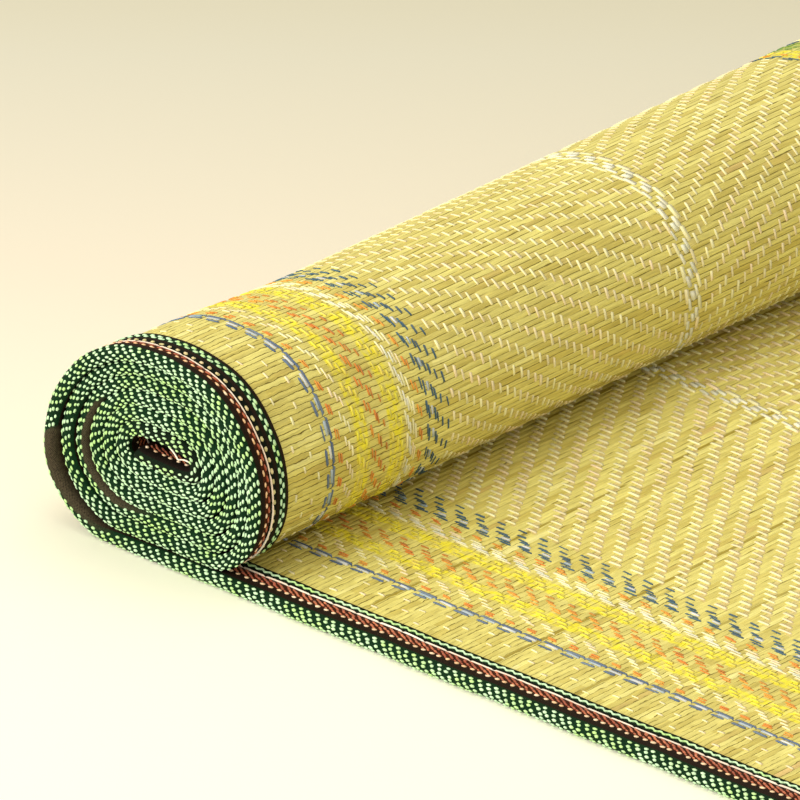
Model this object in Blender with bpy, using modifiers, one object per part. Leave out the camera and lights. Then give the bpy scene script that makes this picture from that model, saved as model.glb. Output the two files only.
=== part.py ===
"""Rattan grass mat: a woven straw mat with bound long edges, about half of it rolled up.

The mat lies on a flat surface. Its straws run along Y, which is also the roll's axis. The
flat part runs towards +X, and the roll stands at the -X end. Metres, +Z up, with the origin
on the surface under the middle of the whole mat.
"""

import math

import bmesh
import bpy
from mathutils import Vector

MM = 0.001

# The mat before it is rolled up
MAT_WIDTH = 700 * MM
MAT_LENGTH = 1800 * MM
STRAW_THICKNESS = 2.0 * MM

# The cloth tape that is folded over each long edge
TAPE_THICKNESS = 1.0 * MM
TAPE_REACH = 16.0 * MM
FIT_GAP = 0.3 * MM
FOLD_STEPS = 4

# The roll: how far it is wound, and how far apart its turns lie
WOUND_TURNS = 6.08
FULL_TURNS = 6.0
TURN_PITCH = 5.67 * MM
STEPS_A_TURN = 28
FLAT_STEPS = 6

# The slit at the roll's core: a thin ellipse with round ends, tilted a little
CORE_HALF_LENGTH = 10.9 * MM
CORE_HALF_HEIGHT = 1.8 * MM
CORE_END_RADIUS = 2.25 * MM
CORE_TILT = math.radians(-3)
OVAL_HEIGHT = 34.8 * MM
RISE_A_TURN = 0.27 * MM

# How the outer turns depart from an even oval: (waves round the roll, cosine, sine)
SLUMP_WAVES = (
    (2, 0.0 * MM, 1.3 * MM),
    (3, -0.85 * MM, -1.25 * MM),
)

# Under the roll the turns lie level, a little closer together than the turn pitch. The span and
# the fade are parts of a turn, counted from the lowest point
REST_PITCH = 5.0 * MM
REST_BLEND = 1.5 * MM
REST_SPAN = 0.25
REST_FADE = 0.1

# The roll's inner turns are pushed in along its axis: (first turn, turns it takes, distance)
PUSHED_IN = (
    (0.55, 0.50, 2.2 * MM),
    (1.60, 0.50, 1.1 * MM),
)

# Between the tapes the turns are thinner, so the roll's body sinks and draws in a little, and its
# core stays as much wider. The body starts inside each tape and reaches its full form further in
BODY_START = 20 * MM
BODY_REACH = 70 * MM
BODY_STEPS = 3
BODY_DRAWN_IN = 1.7 * MM
BODY_DROP = 1.65 * MM
BODY_REST_LEVEL = 1.15 * MM
BODY_REST_PITCH = 2.6 * MM

# Colours in linear light, and roughness, of the straw and of the tape
STRAW_COLOUR = (0.62, 0.54, 0.15)
STRAW_ROUGHNESS = 0.55
TAPE_COLOUR = (0.03, 0.12, 0.05)
TAPE_ROUGHNESS = 0.85

FLANGE_LEVEL = STRAW_THICKNESS / 2 + FIT_GAP + TAPE_THICKNESS / 2
HALF_STACK = FLANGE_LEVEL + TAPE_THICKNESS / 2


def smooth_step(value):
    """Ease from 0 to 1 as the value goes from 0 to 1."""
    value = min(max(value, 0.0), 1.0)
    return value * value * (3.0 - 2.0 * value)


def free_outline(turn, body):
    """The wound line's place at a turn, before its underside settles on what it rests on.

    The body share goes from 0 at the tapes to 1 in the middle of the mat.
    """
    angle = -math.pi / 2 - math.tau * turn
    lean = angle - CORE_TILT
    along = CORE_HALF_LENGTH * math.cos(lean)
    across = CORE_HALF_HEIGHT * math.sin(lean)
    reach = math.hypot(along, across)
    swing = (CORE_HALF_HEIGHT ** 2 - CORE_HALF_LENGTH ** 2) * math.sin(lean) * math.cos(lean) / reach
    reach += CORE_END_RADIUS + TURN_PITCH * (FULL_TURNS - turn)
    weight = 1.0 - turn / FULL_TURNS
    reach += body * BODY_DRAWN_IN * (1.0 - 2.0 * weight)
    for waves, cosine, sine in SLUMP_WAVES:
        reach += weight * (cosine * math.cos(waves * angle) + sine * math.sin(waves * angle))
        swing += weight * waves * (sine * math.cos(waves * angle) - cosine * math.sin(waves * angle))
    outward = Vector((math.cos(angle), 0.0, math.sin(angle)))
    sideways = Vector((-math.sin(angle), 0.0, math.cos(angle)))
    middle = Vector((0.0, 0.0, OVAL_HEIGHT + RISE_A_TURN * turn - body * BODY_DROP))
    return middle + reach * outward + swing * sideways


def wound_point(turn, body):
    """The wound line's place at a turn: 0 is under the roll, 0.25 its left, 0.5 its top."""
    point = free_outline(turn, body)
    pitch = REST_PITCH + body * (BODY_REST_PITCH - REST_PITCH)
    level = HALF_STACK + body * (BODY_REST_LEVEL - HALF_STACK) + pitch * round(turn)
    nearness = max(REST_BLEND - abs(point.z - level), 0.0) / REST_BLEND
    settled = max(point.z, level) + nearness ** 2 * REST_BLEND / 4
    share = smooth_step((REST_SPAN - abs(turn - round(turn))) / REST_FADE)
    point.z += share * (settled - point.z)
    point.y = sum(depth * smooth_step((turn - start) / length) for start, length, depth in PUSHED_IN)
    return point


def path_length(points):
    """The length of the line through the points, as its section shows it."""
    return sum(math.hypot(b.x - a.x, b.z - a.z) for a, b in zip(points, points[1:]))


def wound_line(body):
    """The wound part's middle line in section, from under the roll to its core."""
    steps = int(WOUND_TURNS * STEPS_A_TURN)
    return [wound_point(step / STEPS_A_TURN, body) for step in range(steps + 1)]


def mat_line(body):
    """The mat's middle line in section, from its free end to the roll's core."""
    wound = wound_line(body)
    flat_length = MAT_LENGTH - path_length(wound_line(0.0))
    foot = wound[0]
    flat = [foot + Vector((flat_length * (1 - step / FLAT_STEPS), 0, 0)) for step in range(FLAT_STEPS)]
    return flat + wound


def mitred_normals(points):
    """The upper side's direction at each point, long enough to keep the layer's thickness."""
    sides = []
    for a, b in zip(points, points[1:]):
        run = Vector((b.x - a.x, 0.0, b.z - a.z)).normalized()
        sides.append(Vector((run.z, 0.0, -run.x)))
    normals = [sides[0]]
    for before, after in zip(sides, sides[1:]):
        middle = (before + after).normalized()
        normals.append(middle / middle.dot(after))
    normals.append(sides[-1])
    return normals


def centring_shift():
    """The move that puts the middle of the mat's box over the origin."""
    points = mat_line(0.0)
    normals = mitred_normals(points)
    edges = [(p - n * HALF_STACK).x for p, n in zip(points, normals)] + [p.x for p in points]
    return Vector((
        -(min(edges) + max(edges)) / 2,
        -(min(p.y for p in points) + max(p.y for p in points)) / 2,
        0.0,
    ))


def panel_stations(straw_edge):
    """The panel's stations across the mat, each with its share of the body's form."""
    stations = [(straw_edge, 0.0)]
    for step in range(BODY_STEPS):
        share = step / (BODY_STEPS - 1)
        inward = BODY_START + share * BODY_REACH
        stations.append((MAT_WIDTH / 2 - inward, smooth_step(share)))
    near = [(-y, body) for y, body in stations]
    return near + stations[::-1]


def fold_profile():
    """The tape's middle line across the mat's edge: (distance in from the fold, height)."""
    centre = TAPE_THICKNESS / 2 + FLANGE_LEVEL
    profile = [(TAPE_REACH, FLANGE_LEVEL)]
    for step in range(FOLD_STEPS + 1):
        angle = math.pi / 2 - math.pi * step / FOLD_STEPS
        profile.append((centre - FLANGE_LEVEL * math.cos(angle), FLANGE_LEVEL * math.sin(angle)))
    profile.append((TAPE_REACH, -FLANGE_LEVEL))
    return profile


def material(name, colour, roughness):
    """A plain finish of one colour."""
    finish = bpy.data.materials.new(name)
    finish.use_nodes = True
    shader = finish.node_tree.nodes["Principled BSDF"]
    shader.inputs["Base Color"].default_value = (*colour, 1.0)
    shader.inputs["Roughness"].default_value = roughness
    shader.inputs["Metallic"].default_value = 0.0
    return finish


def wound_sheet(name, across, thickness, finish, collection):
    """A sheet laid along the mat, given its stations across as (y, height, body) triples."""
    shift = centring_shift()
    lines = {body: [p + shift for p in mat_line(body)] for _, _, body in across}
    normals = {body: mitred_normals(line) for body, line in lines.items()}
    steps_along = len(lines[across[0][2]]) - 1
    steps_across = len(across) - 1
    mesh = bpy.data.meshes.new(name)
    bm = bmesh.new()
    bmesh.ops.create_grid(bm, x_segments=steps_along, y_segments=steps_across, size=1.0)
    for vert in bm.verts:
        along = round((vert.co.x + 1) / 2 * steps_along)
        y, height, body = across[round((vert.co.y + 1) / 2 * steps_across)]
        vert.co = lines[body][along] + Vector((0.0, y, 0.0)) + normals[body][along] * height
    bm.to_mesh(mesh)
    bm.free()
    sheet = bpy.data.objects.new(name, mesh)
    collection.objects.link(sheet)
    shell = sheet.modifiers.new("Thickness", "SOLIDIFY")
    shell.thickness = thickness
    shell.offset = 0.0
    shell.use_even_offset = True
    mesh.materials.append(finish)
    mesh.shade_smooth()
    return sheet


def build():
    """Model the mat: the straw panel and the tape on each of its long edges."""
    for old in list(bpy.data.objects):
        bpy.data.objects.remove(old, do_unlink=True)
    collection = bpy.data.collections.new("Rattan grass mat")
    bpy.context.scene.collection.children.link(collection)

    edge = MAT_WIDTH / 2
    straw_edge = edge - (TAPE_THICKNESS + FLANGE_LEVEL)
    straw = material("Woven straw", STRAW_COLOUR, STRAW_ROUGHNESS)
    across = [(y, 0.0, body) for y, body in panel_stations(straw_edge)]
    wound_sheet("mat_panel", across, STRAW_THICKNESS, straw, collection)

    for name, side in (("binding_near", -1), ("binding_far", 1)):
        tape = material(name.replace("_", " ") + " cloth", TAPE_COLOUR, TAPE_ROUGHNESS)
        across = [(side * (edge - inward), height, 0.0) for inward, height in fold_profile()]
        wound_sheet(name, across, TAPE_THICKNESS, tape, collection)


build()
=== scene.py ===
"""Rattan grass mat, half rolled up: woven straw, stitched pattern and tape-bound edges.

The mat's middle line runs from its free end along the flat part and then round the roll to the
core. Every piece is laid on that line: s is the way along it from the free end, v the way across
the mat from its near edge, and a height is measured along the line's normal. The flat part's top
is the mat's front, which becomes the inside of the roll. Metres, +Z up, in the frame's own place.
"""

import logging
import math
from dataclasses import dataclass, field, replace
from enum import Enum
from typing import Callable

import bmesh
import bpy
import numpy as np
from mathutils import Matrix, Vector


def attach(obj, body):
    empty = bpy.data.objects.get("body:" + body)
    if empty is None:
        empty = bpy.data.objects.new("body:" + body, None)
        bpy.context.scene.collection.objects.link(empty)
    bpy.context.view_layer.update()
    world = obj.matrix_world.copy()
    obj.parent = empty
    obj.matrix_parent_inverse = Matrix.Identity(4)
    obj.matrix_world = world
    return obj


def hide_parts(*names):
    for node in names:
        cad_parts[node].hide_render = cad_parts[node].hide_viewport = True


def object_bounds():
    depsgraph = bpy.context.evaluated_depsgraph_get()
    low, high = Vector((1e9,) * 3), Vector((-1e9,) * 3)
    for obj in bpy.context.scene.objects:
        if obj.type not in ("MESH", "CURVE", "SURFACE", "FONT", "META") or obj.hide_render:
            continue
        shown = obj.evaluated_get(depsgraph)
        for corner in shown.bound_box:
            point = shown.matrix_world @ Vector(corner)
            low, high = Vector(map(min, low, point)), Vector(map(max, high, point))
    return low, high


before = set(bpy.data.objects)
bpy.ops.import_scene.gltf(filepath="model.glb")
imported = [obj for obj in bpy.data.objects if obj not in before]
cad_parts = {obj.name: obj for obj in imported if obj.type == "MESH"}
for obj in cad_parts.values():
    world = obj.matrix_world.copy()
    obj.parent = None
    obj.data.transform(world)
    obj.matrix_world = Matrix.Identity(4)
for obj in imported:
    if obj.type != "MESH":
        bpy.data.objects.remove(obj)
CAD_LOW, CAD_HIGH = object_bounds()

MM = 0.001
LOG = logging.getLogger("grass_mat")
Colour = tuple[float, float, float, float]
Socket = bpy.types.NodeSocket
Sockets = dict[str, Socket]
Lay = Callable[[np.ndarray, np.ndarray, np.ndarray], np.ndarray]


def pigment(red: int, green: int, blue: int) -> Colour:
    """Turn a colour as seen on a screen into linear light.

    Args:
        red: The red part, from 0 to 255.
        green: The green part, from 0 to 255.
        blue: The blue part, from 0 to 255.

    Returns:
        The colour in linear light, with full alpha.
    """
    parts = [part / 255 for part in (red, green, blue)]
    lit = [part / 12.92 if part <= 0.04045 else ((part + 0.055) / 1.055) ** 2.4 for part in parts]
    return (*lit, 1.0)


class Face(Enum):
    """A side of the mat, with the sign of its heights."""

    FRONT = 1
    BACK = -1


class Edge(Enum):
    """A long edge of the mat, with the node that its tape replaces."""

    NEAR = "binding_near"
    FAR = "binding_far"


class Yarn(Enum):
    """The colours of the warp and of the tape's yarns, each with the colour that it strays to."""

    CREAM = ((255, 250, 200), (248, 226, 190))
    SLATE = ((80, 104, 144), (108, 126, 152))
    LILAC = ((222, 224, 226), (140, 168, 192))
    PEARL = ((246, 244, 224), (222, 226, 206))
    ORANGE = ((240, 166, 56), (226, 128, 38))
    LEMON = ((242, 232, 68), (238, 218, 104))
    TEAL = ((54, 98, 126), (68, 90, 106))
    LEAF = ((118, 156, 62), (88, 138, 92))
    MINT = ((206, 244, 202), (186, 230, 138))
    TAN = ((242, 198, 150), (250, 226, 196))
    SAND = ((206, 196, 140), (226, 200, 160))
    RUST = ((162, 72, 40), (206, 120, 80))
    OCHRE = ((216, 150, 46), (200, 122, 40))
    WHITE = ((255, 232, 214), (255, 248, 234))

    @property
    def colour(self) -> Colour:
        """The yarn's colour in linear light."""
        return pigment(*self.value[0])

    @property
    def stray(self) -> Colour:
        """The colour that the yarn strays to, in linear light."""
        return pigment(*self.value[1])


def smooth_step(value: np.ndarray) -> np.ndarray:
    """Ease from 0 to 1 as the value goes from 0 to 1.

    Args:
        value: Any numbers.

    Returns:
        The eased numbers.
    """
    value = np.clip(value, 0.0, 1.0)
    return value * value * (3.0 - 2.0 * value)


def waves(s: np.ndarray, parts: tuple[tuple[float, float, float], ...]) -> np.ndarray:
    """Add up waves that run along the mat.

    Args:
        s: The way along the line.
        parts: For each wave the length in which it turns by one radian, its share and its phase.

    Returns:
        The height of the waves.
    """
    return sum(share * np.sin(s / length + phase) for length, share, phase in parts)


@dataclass
class MatLine:
    """The mat's middle line in section: the flat part, then the roll, as the solids have it.

    The turns are thinner between the tapes, so there the line sinks and draws in a little. The
    body share says how far a place has this form, from 0 at the tapes to 1 in the mat's body.
    """

    width: float = 700 * MM
    half_stack: float = 2.3 * MM
    flat_steps: int = 80
    wound_turns: float = 6.07
    full_turns: float = 6.0
    turn_pitch: float = 5.67 * MM
    steps_a_turn: int = 240
    core_half_length: float = 10.9 * MM
    core_half_height: float = 1.8 * MM
    core_end_radius: float = 2.25 * MM
    core_tilt: float = math.radians(-3)
    oval_height: float = 34.8 * MM
    rise_a_turn: float = 0.27 * MM
    slump_waves: tuple[tuple[int, float, float], ...] = (
        (2, 0.0 * MM, 1.3 * MM),
        (3, -0.85 * MM, -1.25 * MM),
    )
    rest_pitch: float = 5.0 * MM
    rest_blend: float = 1.5 * MM
    rest_span: float = 0.25
    rest_fade: float = 0.1
    pushed_in: tuple[tuple[float, float, float], ...] = (
        (0.55, 0.50, 2.2 * MM),
        (1.60, 0.50, 1.1 * MM),
    )
    body_start: float = 20 * MM
    body_reach: float = 70 * MM
    body_drawn_in: float = 1.7 * MM
    body_drop: float = 1.65 * MM
    body_rest_level: float = 1.15 * MM
    body_rest_pitch: float = 2.6 * MM
    length: float = field(init=False)
    s: np.ndarray = field(init=False)
    lines: list[tuple[np.ndarray, np.ndarray]] = field(init=False)
    foot: float = field(init=False)

    def __post_init__(self) -> None:
        """Work out the points and normals of both forms, set in the frame's place, and the lengths."""
        turn = np.linspace(0.0, self.wound_turns, int(self.wound_turns * self.steps_a_turn) + 1)
        shift = CAD_LOW.x - (self.wound(turn, 0.0)[:, 0].min() - self.half_stack)
        self.lines = []
        for body in (0.0, 1.0):
            wound = self.wound(turn, body)
            wound[:, 0] += shift
            flat = np.linspace(CAD_HIGH.x, wound[0, 0], self.flat_steps + 1)[:-1]
            flat = np.stack([flat, np.zeros_like(flat), np.full_like(flat, wound[0, 2])], axis=1)
            points = np.concatenate([flat, wound])
            run = np.gradient(points[:, (0, 2)], axis=0)
            run /= np.linalg.norm(run, axis=1, keepdims=True)
            self.lines.append((points, np.stack([run[:, 1], np.zeros(len(run)), -run[:, 0]], axis=1)))
        steps = np.linalg.norm(np.diff(self.lines[0][0][:, (0, 2)], axis=0), axis=1)
        self.s = np.concatenate([[0.0], np.cumsum(steps)])
        self.length = float(self.s[-1])
        self.foot = float(self.s[self.flat_steps])

    def at_turn(self, turn: float) -> float:
        """The way along the line to a turn of the roll."""
        return float(self.s[self.flat_steps + round(turn * self.steps_a_turn)])

    def wound(self, turn: np.ndarray, body: float) -> np.ndarray:
        """Find the wound line's places, with the oval's middle at x = 0.

        Args:
            turn: Turns from the lowest outer point: 0.25 is the roll's left, 0.5 its top.
            body: The body share.

        Returns:
            A row of x, y and z for each turn.
        """
        angle = -math.pi / 2 - math.tau * turn
        lean = angle - self.core_tilt
        reach = np.hypot(self.core_half_length * np.cos(lean), self.core_half_height * np.sin(lean))
        flatness = self.core_half_height ** 2 - self.core_half_length ** 2
        swing = flatness * np.sin(lean) * np.cos(lean) / reach
        weight = 1.0 - turn / self.full_turns
        reach = reach + self.core_end_radius + self.turn_pitch * (self.full_turns - turn)
        reach += body * self.body_drawn_in * (1.0 - 2.0 * weight)
        for count, cosine, sine in self.slump_waves:
            reach += weight * (cosine * np.cos(count * angle) + sine * np.sin(count * angle))
            swing += weight * count * (sine * np.cos(count * angle) - cosine * np.sin(count * angle))
        x = reach * np.cos(angle) - swing * np.sin(angle)
        middle = self.oval_height + self.rise_a_turn * turn - body * self.body_drop
        z = middle + reach * np.sin(angle) + swing * np.cos(angle)
        pitch = self.rest_pitch + body * (self.body_rest_pitch - self.rest_pitch)
        rest_level = self.half_stack + body * (self.body_rest_level - self.half_stack)
        level = rest_level + pitch * np.round(turn)
        nearness = np.maximum(self.rest_blend - np.abs(z - level), 0.0) / self.rest_blend
        settled = np.maximum(z, level) + nearness ** 2 * self.rest_blend / 4
        share = smooth_step((self.rest_span - np.abs(turn - np.round(turn))) / self.rest_fade)
        z += share * (settled - z)
        y = sum(depth * smooth_step((turn - start) / length) for start, length, depth in self.pushed_in)
        return np.stack([x, y, z], axis=1)

    def place(self, s: np.ndarray, v: np.ndarray, height: np.ndarray) -> np.ndarray:
        """Find places on the mat.

        Args:
            s: The way along the line from the free end.
            v: The way across from the near edge.
            height: The height over the line, positive on the mat's front.

        Returns:
            The places, with x, y and z on the last axis.
        """
        s, v, height = np.broadcast_arrays(s, v, height)
        from_edge = np.minimum(v, self.width - v)
        body = smooth_step((from_edge - self.body_start) / self.body_reach)
        places = []
        for axis in range(3):
            place = 0.0
            for share, (points, normals) in zip((1.0 - body, body), self.lines):
                up = np.interp(s, self.s, normals[:, axis])
                place = place + share * (np.interp(s, self.s, points[:, axis]) + height * up)
            places.append(place)
        places[1] = places[1] + CAD_LOW.y + v
        return np.stack(places, axis=-1)


@dataclass
class StrawCourse:
    """Where each straw lies along the mat: uneven widths, and edges that wander a little."""

    line: MatLine
    flat_pitch: float = 2.24 * MM
    rolled_pitch: float = 2.05 * MM
    jitter: float = 0.15 * MM
    wander: float = 0.16 * MM
    shortest_wave: float = 130 * MM
    longest_wave: float = 300 * MM
    seed: int = 11
    count: int = field(init=False)
    borders: np.ndarray = field(init=False)
    waves: np.ndarray = field(init=False)
    phases: np.ndarray = field(init=False)

    def __post_init__(self) -> None:
        """Draw the borders between the straws."""
        draw = np.random.default_rng(self.seed)
        flat = round(self.line.foot / self.flat_pitch)
        rolled = round((self.line.length - self.line.foot) / self.rolled_pitch)
        self.count = flat + rolled
        even = np.interp(
            np.arange(self.count + 1), (0, flat, self.count), (0.0, self.line.foot, self.line.length)
        )
        stray = np.clip(draw.normal(0.0, self.jitter, self.count + 1), -2 * self.jitter, 2 * self.jitter)
        stray[[0, -1]] = 0.0
        self.borders = even + stray
        self.waves = draw.uniform(self.shortest_wave, self.longest_wave, self.count + 1)
        self.phases = draw.uniform(0.0, math.tau, self.count + 1)

    def border(self, row: np.ndarray, v: np.ndarray) -> np.ndarray:
        """Find where a border between two straws lies at a place across the mat.

        Args:
            row: The number of the straw that follows the border.
            v: The way across from the near edge.

        Returns:
            The way along the line.
        """
        sway = self.wander * np.sin(math.tau * v / self.waves[row] + self.phases[row])
        return self.borders[row] + np.where((row == 0) | (row == self.count), 0.0, sway)

    def along(self, straw: np.ndarray, v: np.ndarray) -> np.ndarray:
        """Turn a place counted in straws into a way along the line.

        Args:
            straw: Straws from the free end, with fractions.
            v: The way across from the near edge.

        Returns:
            The way along the line.
        """
        straw, v = np.broadcast_arrays(straw, v)
        row = np.clip(np.floor(straw).astype(int), 0, self.count - 1)
        first = self.border(row, v)
        return first + (straw - row) * (self.border(row + 1, v) - first)

    def rows_to(self, s: float) -> int:
        """Count the straws up to a way along the line."""
        return int(np.searchsorted(self.borders, s))


def linked(name: str, data: bpy.types.ID) -> bpy.types.Object:
    """Put a new object in the scene.

    Args:
        name: The object's name.
        data: Its mesh, light or camera.

    Returns:
        The object.
    """
    made = bpy.data.objects.new(name, data)
    bpy.context.scene.collection.objects.link(made)
    return made


def mesh_from(bm: bmesh.types.BMesh, name: str) -> bpy.types.Mesh:
    """Turn a drawn shape into a mesh, and free the shape.

    Args:
        bm: The shape.
        name: The mesh's name.

    Returns:
        The mesh.
    """
    mesh = bpy.data.meshes.new(name)
    bm.to_mesh(mesh)
    bm.free()
    return mesh


def points_of(mesh: bpy.types.Mesh) -> np.ndarray:
    """Read the places of a mesh's points.

    Args:
        mesh: The mesh.

    Returns:
        A row of x, y and z for each point.
    """
    raw = np.empty(len(mesh.vertices) * 3, dtype=np.float32)
    mesh.vertices.foreach_get("co", raw)
    return raw.reshape(-1, 3)


def lay_points(mesh: bpy.types.Mesh, points: np.ndarray) -> None:
    """Give a mesh's points new places."""
    mesh.vertices.foreach_set("co", points.astype(np.float32).ravel())


def mark(mesh: bpy.types.Mesh, name: str, values: np.ndarray) -> None:
    """Store a number for each point of a mesh, under an attribute's name."""
    store = mesh.attributes.new(name, "FLOAT", "POINT")
    store.data.foreach_set("value", np.ascontiguousarray(values, dtype=np.float32).ravel())


def face_out(mesh: bpy.types.Mesh) -> None:
    """Turn the faces of a mesh's closed bodies outwards.

    Args:
        mesh: The mesh.
    """
    bm = bmesh.new()
    bm.from_mesh(mesh)
    bmesh.ops.recalc_face_normals(bm, faces=bm.faces)
    bm.to_mesh(mesh)
    bm.free()


def finished(name: str, mesh: bpy.types.Mesh) -> bpy.types.Object:
    """Put a mesh in the scene as a smooth piece of the mat.

    Args:
        name: The piece's name.
        mesh: Its mesh, already in place.

    Returns:
        The new object.
    """
    mesh.name = name
    mesh.shade_smooth()
    piece = linked(name, mesh)
    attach(piece, "root")
    LOG.info("%s: %d faces", name, len(mesh.polygons))
    return piece


def yarn_piece(
    name: str,
    mesh: bpy.types.Mesh,
    points: np.ndarray,
    tones: np.ndarray,
    yarn: Yarn,
) -> bpy.types.Object:
    """Lay a mesh of threads, and put it in the scene as a piece of one yarn.

    Args:
        name: The piece's name.
        mesh: The threads, which all have as many points.
        points: The places of the points.
        tones: A number from 0 to 1 for each thread, from darker to lighter.
        yarn: The yarn.

    Returns:
        The new object.
    """
    lay_points(mesh, points)
    mark(mesh, "tone", np.repeat(tones, len(mesh.vertices) // len(tones)))
    face_out(mesh)
    piece = finished(name, mesh)
    piece["yarn"] = yarn.name
    return piece


def laid_shell(
    rows: int, columns: int, lay: Lay, chart: Lay, marks: dict[str, Lay],
) -> bpy.types.Mesh:
    """Make a closed sheet with two faces from a grid, and lay each of its points.

    Args:
        rows: The grid's points along the mat.
        columns: The grid's points across the mat.
        lay: Gives the places of points from their row, column and face sign.
        chart: Gives the pattern coordinates of points, in the same way.
        marks: Names of attributes, each with what gives its values, in the same way.

    Returns:
        The mesh, with its pattern coordinates in the UV map "weave".
    """
    bm = bmesh.new()
    bmesh.ops.create_grid(bm, x_segments=rows - 1, y_segments=columns - 1, size=1.0)
    bmesh.ops.solidify(bm, geom=bm.faces[:], thickness=1.0)
    mesh = mesh_from(bm, "shell")
    drawn = points_of(mesh)
    row = np.rint((drawn[:, 0] + 1) / 2 * (rows - 1)).astype(int)
    column = np.rint((drawn[:, 1] + 1) / 2 * (columns - 1)).astype(int)
    sign = np.where(np.abs(drawn[:, 2]) < 0.5, 1, -1)
    lay_points(mesh, lay(row, column, sign))
    corner = np.empty(len(mesh.loops), dtype=np.int32)
    mesh.loops.foreach_get("vertex_index", corner)
    weave = mesh.uv_layers.new(name="weave")
    weave.data.foreach_set("uv", chart(row, column, sign)[corner].astype(np.float32).ravel())
    for name, values in marks.items():
        mark(mesh, name, values(row, column, sign))
    face_out(mesh)
    return mesh


def repeated(template: bmesh.types.BMesh, count: int) -> tuple[bpy.types.Mesh, np.ndarray]:
    """Join many copies of a small shape into one mesh.

    Args:
        template: The shape, about 1 unit each way from its middle. It is freed.
        count: How many copies.

    Returns:
        The mesh, and its copies' points as drawn, with copy, point and axis.
    """
    base = mesh_from(template, "template")
    carrier = linked("carrier", base)
    copies = carrier.modifiers.new("Copies", "ARRAY")
    copies.count = count
    copies.use_relative_offset = False
    ready = carrier.evaluated_get(bpy.context.evaluated_depsgraph_get())
    mesh = bpy.data.meshes.new_from_object(ready)
    bpy.data.objects.remove(carrier)
    bpy.data.meshes.remove(base)
    return mesh, points_of(mesh).reshape(count, -1, 3).astype(float)


def spindle() -> bmesh.types.BMesh:
    """Draw a warp float: a thread of three sides that runs out to a point at each end.

    Returns:
        A closed shape from -1 to 1 along x and y, with its flat side at z = 0.
    """
    body_length = 1.3
    side_reach = 0.866
    bm = bmesh.new()
    bmesh.ops.create_cone(
        bm, segments=3, radius1=1.0, radius2=1.0, depth=body_length, cap_ends=True
    )
    ends = [face for face in bm.faces if len(face.verts) == 3 and abs(face.normal.z) > 0.5]
    tips = bmesh.ops.poke(bm, faces=ends)["verts"]
    for tip in tips:
        tip.co.z = math.copysign(1.0, tip.co.z)
    low = min(vert.co.x for vert in bm.verts)
    for vert in bm.verts:
        vert.co = Vector((vert.co.z, vert.co.y / side_reach, (vert.co.x - low) / (1.0 - low)))
    for tip in tips:
        tip.co.z = 0.0
    return bm


def grain_of_rice() -> bmesh.types.BMesh:
    """Draw a tape yarn's float.

    Returns:
        A small closed ball with a radius of 1, to be stretched along the tape.
    """
    bm = bmesh.new()
    bmesh.ops.create_icosphere(bm, subdivisions=1, radius=1.0)
    return bm


def stitch(cuts: int) -> bmesh.types.BMesh:
    """Draw a sewing stitch: a round thread with capped ends.

    Args:
        cuts: How many rings lie between its ends.

    Returns:
        A closed shape from -1 to 1 along x, with a radius of 1.
    """
    bm = bmesh.new()
    bmesh.ops.create_cone(bm, segments=6, radius1=1.0, radius2=1.0, depth=2.0, cap_ends=True)
    lengthwise = [
        edge for edge in bm.edges if abs(edge.verts[0].co.z - edge.verts[1].co.z) > 1.0
    ]
    bmesh.ops.subdivide_edges(bm, edges=lengthwise, cuts=cuts, use_grid_fill=True)
    for vert in bm.verts:
        vert.co = Vector((vert.co.z, vert.co.y, vert.co.x))
    return bm


@dataclass(frozen=True)
class Warp:
    """One warp thread, where it shows.

    Its start, span and repeat count straws, and its place, half width, lean and bow are in
    metres. Each float leans to one side from end to end, and its middle bows away from its ends.
    The back share is how large its floats are on the mat's back.
    """

    place: float
    yarn: Yarn
    start: float
    span: float
    repeat: int
    half_width: float
    lean: float = 0.08 * MM
    back_share: float = 1.0
    bow: float = 0.0

    def start_on(self, face: Face) -> float:
        """The first straw that it floats over, on either side of the mat."""
        return self.start if face is Face.FRONT else self.start + self.repeat / 2

    def size_on(self, face: Face) -> tuple[float, float]:
        """The span and half width of its floats, on either side of the mat."""
        share = 1.0 if face is Face.FRONT else self.back_share
        return self.span * share, self.half_width * share


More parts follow.
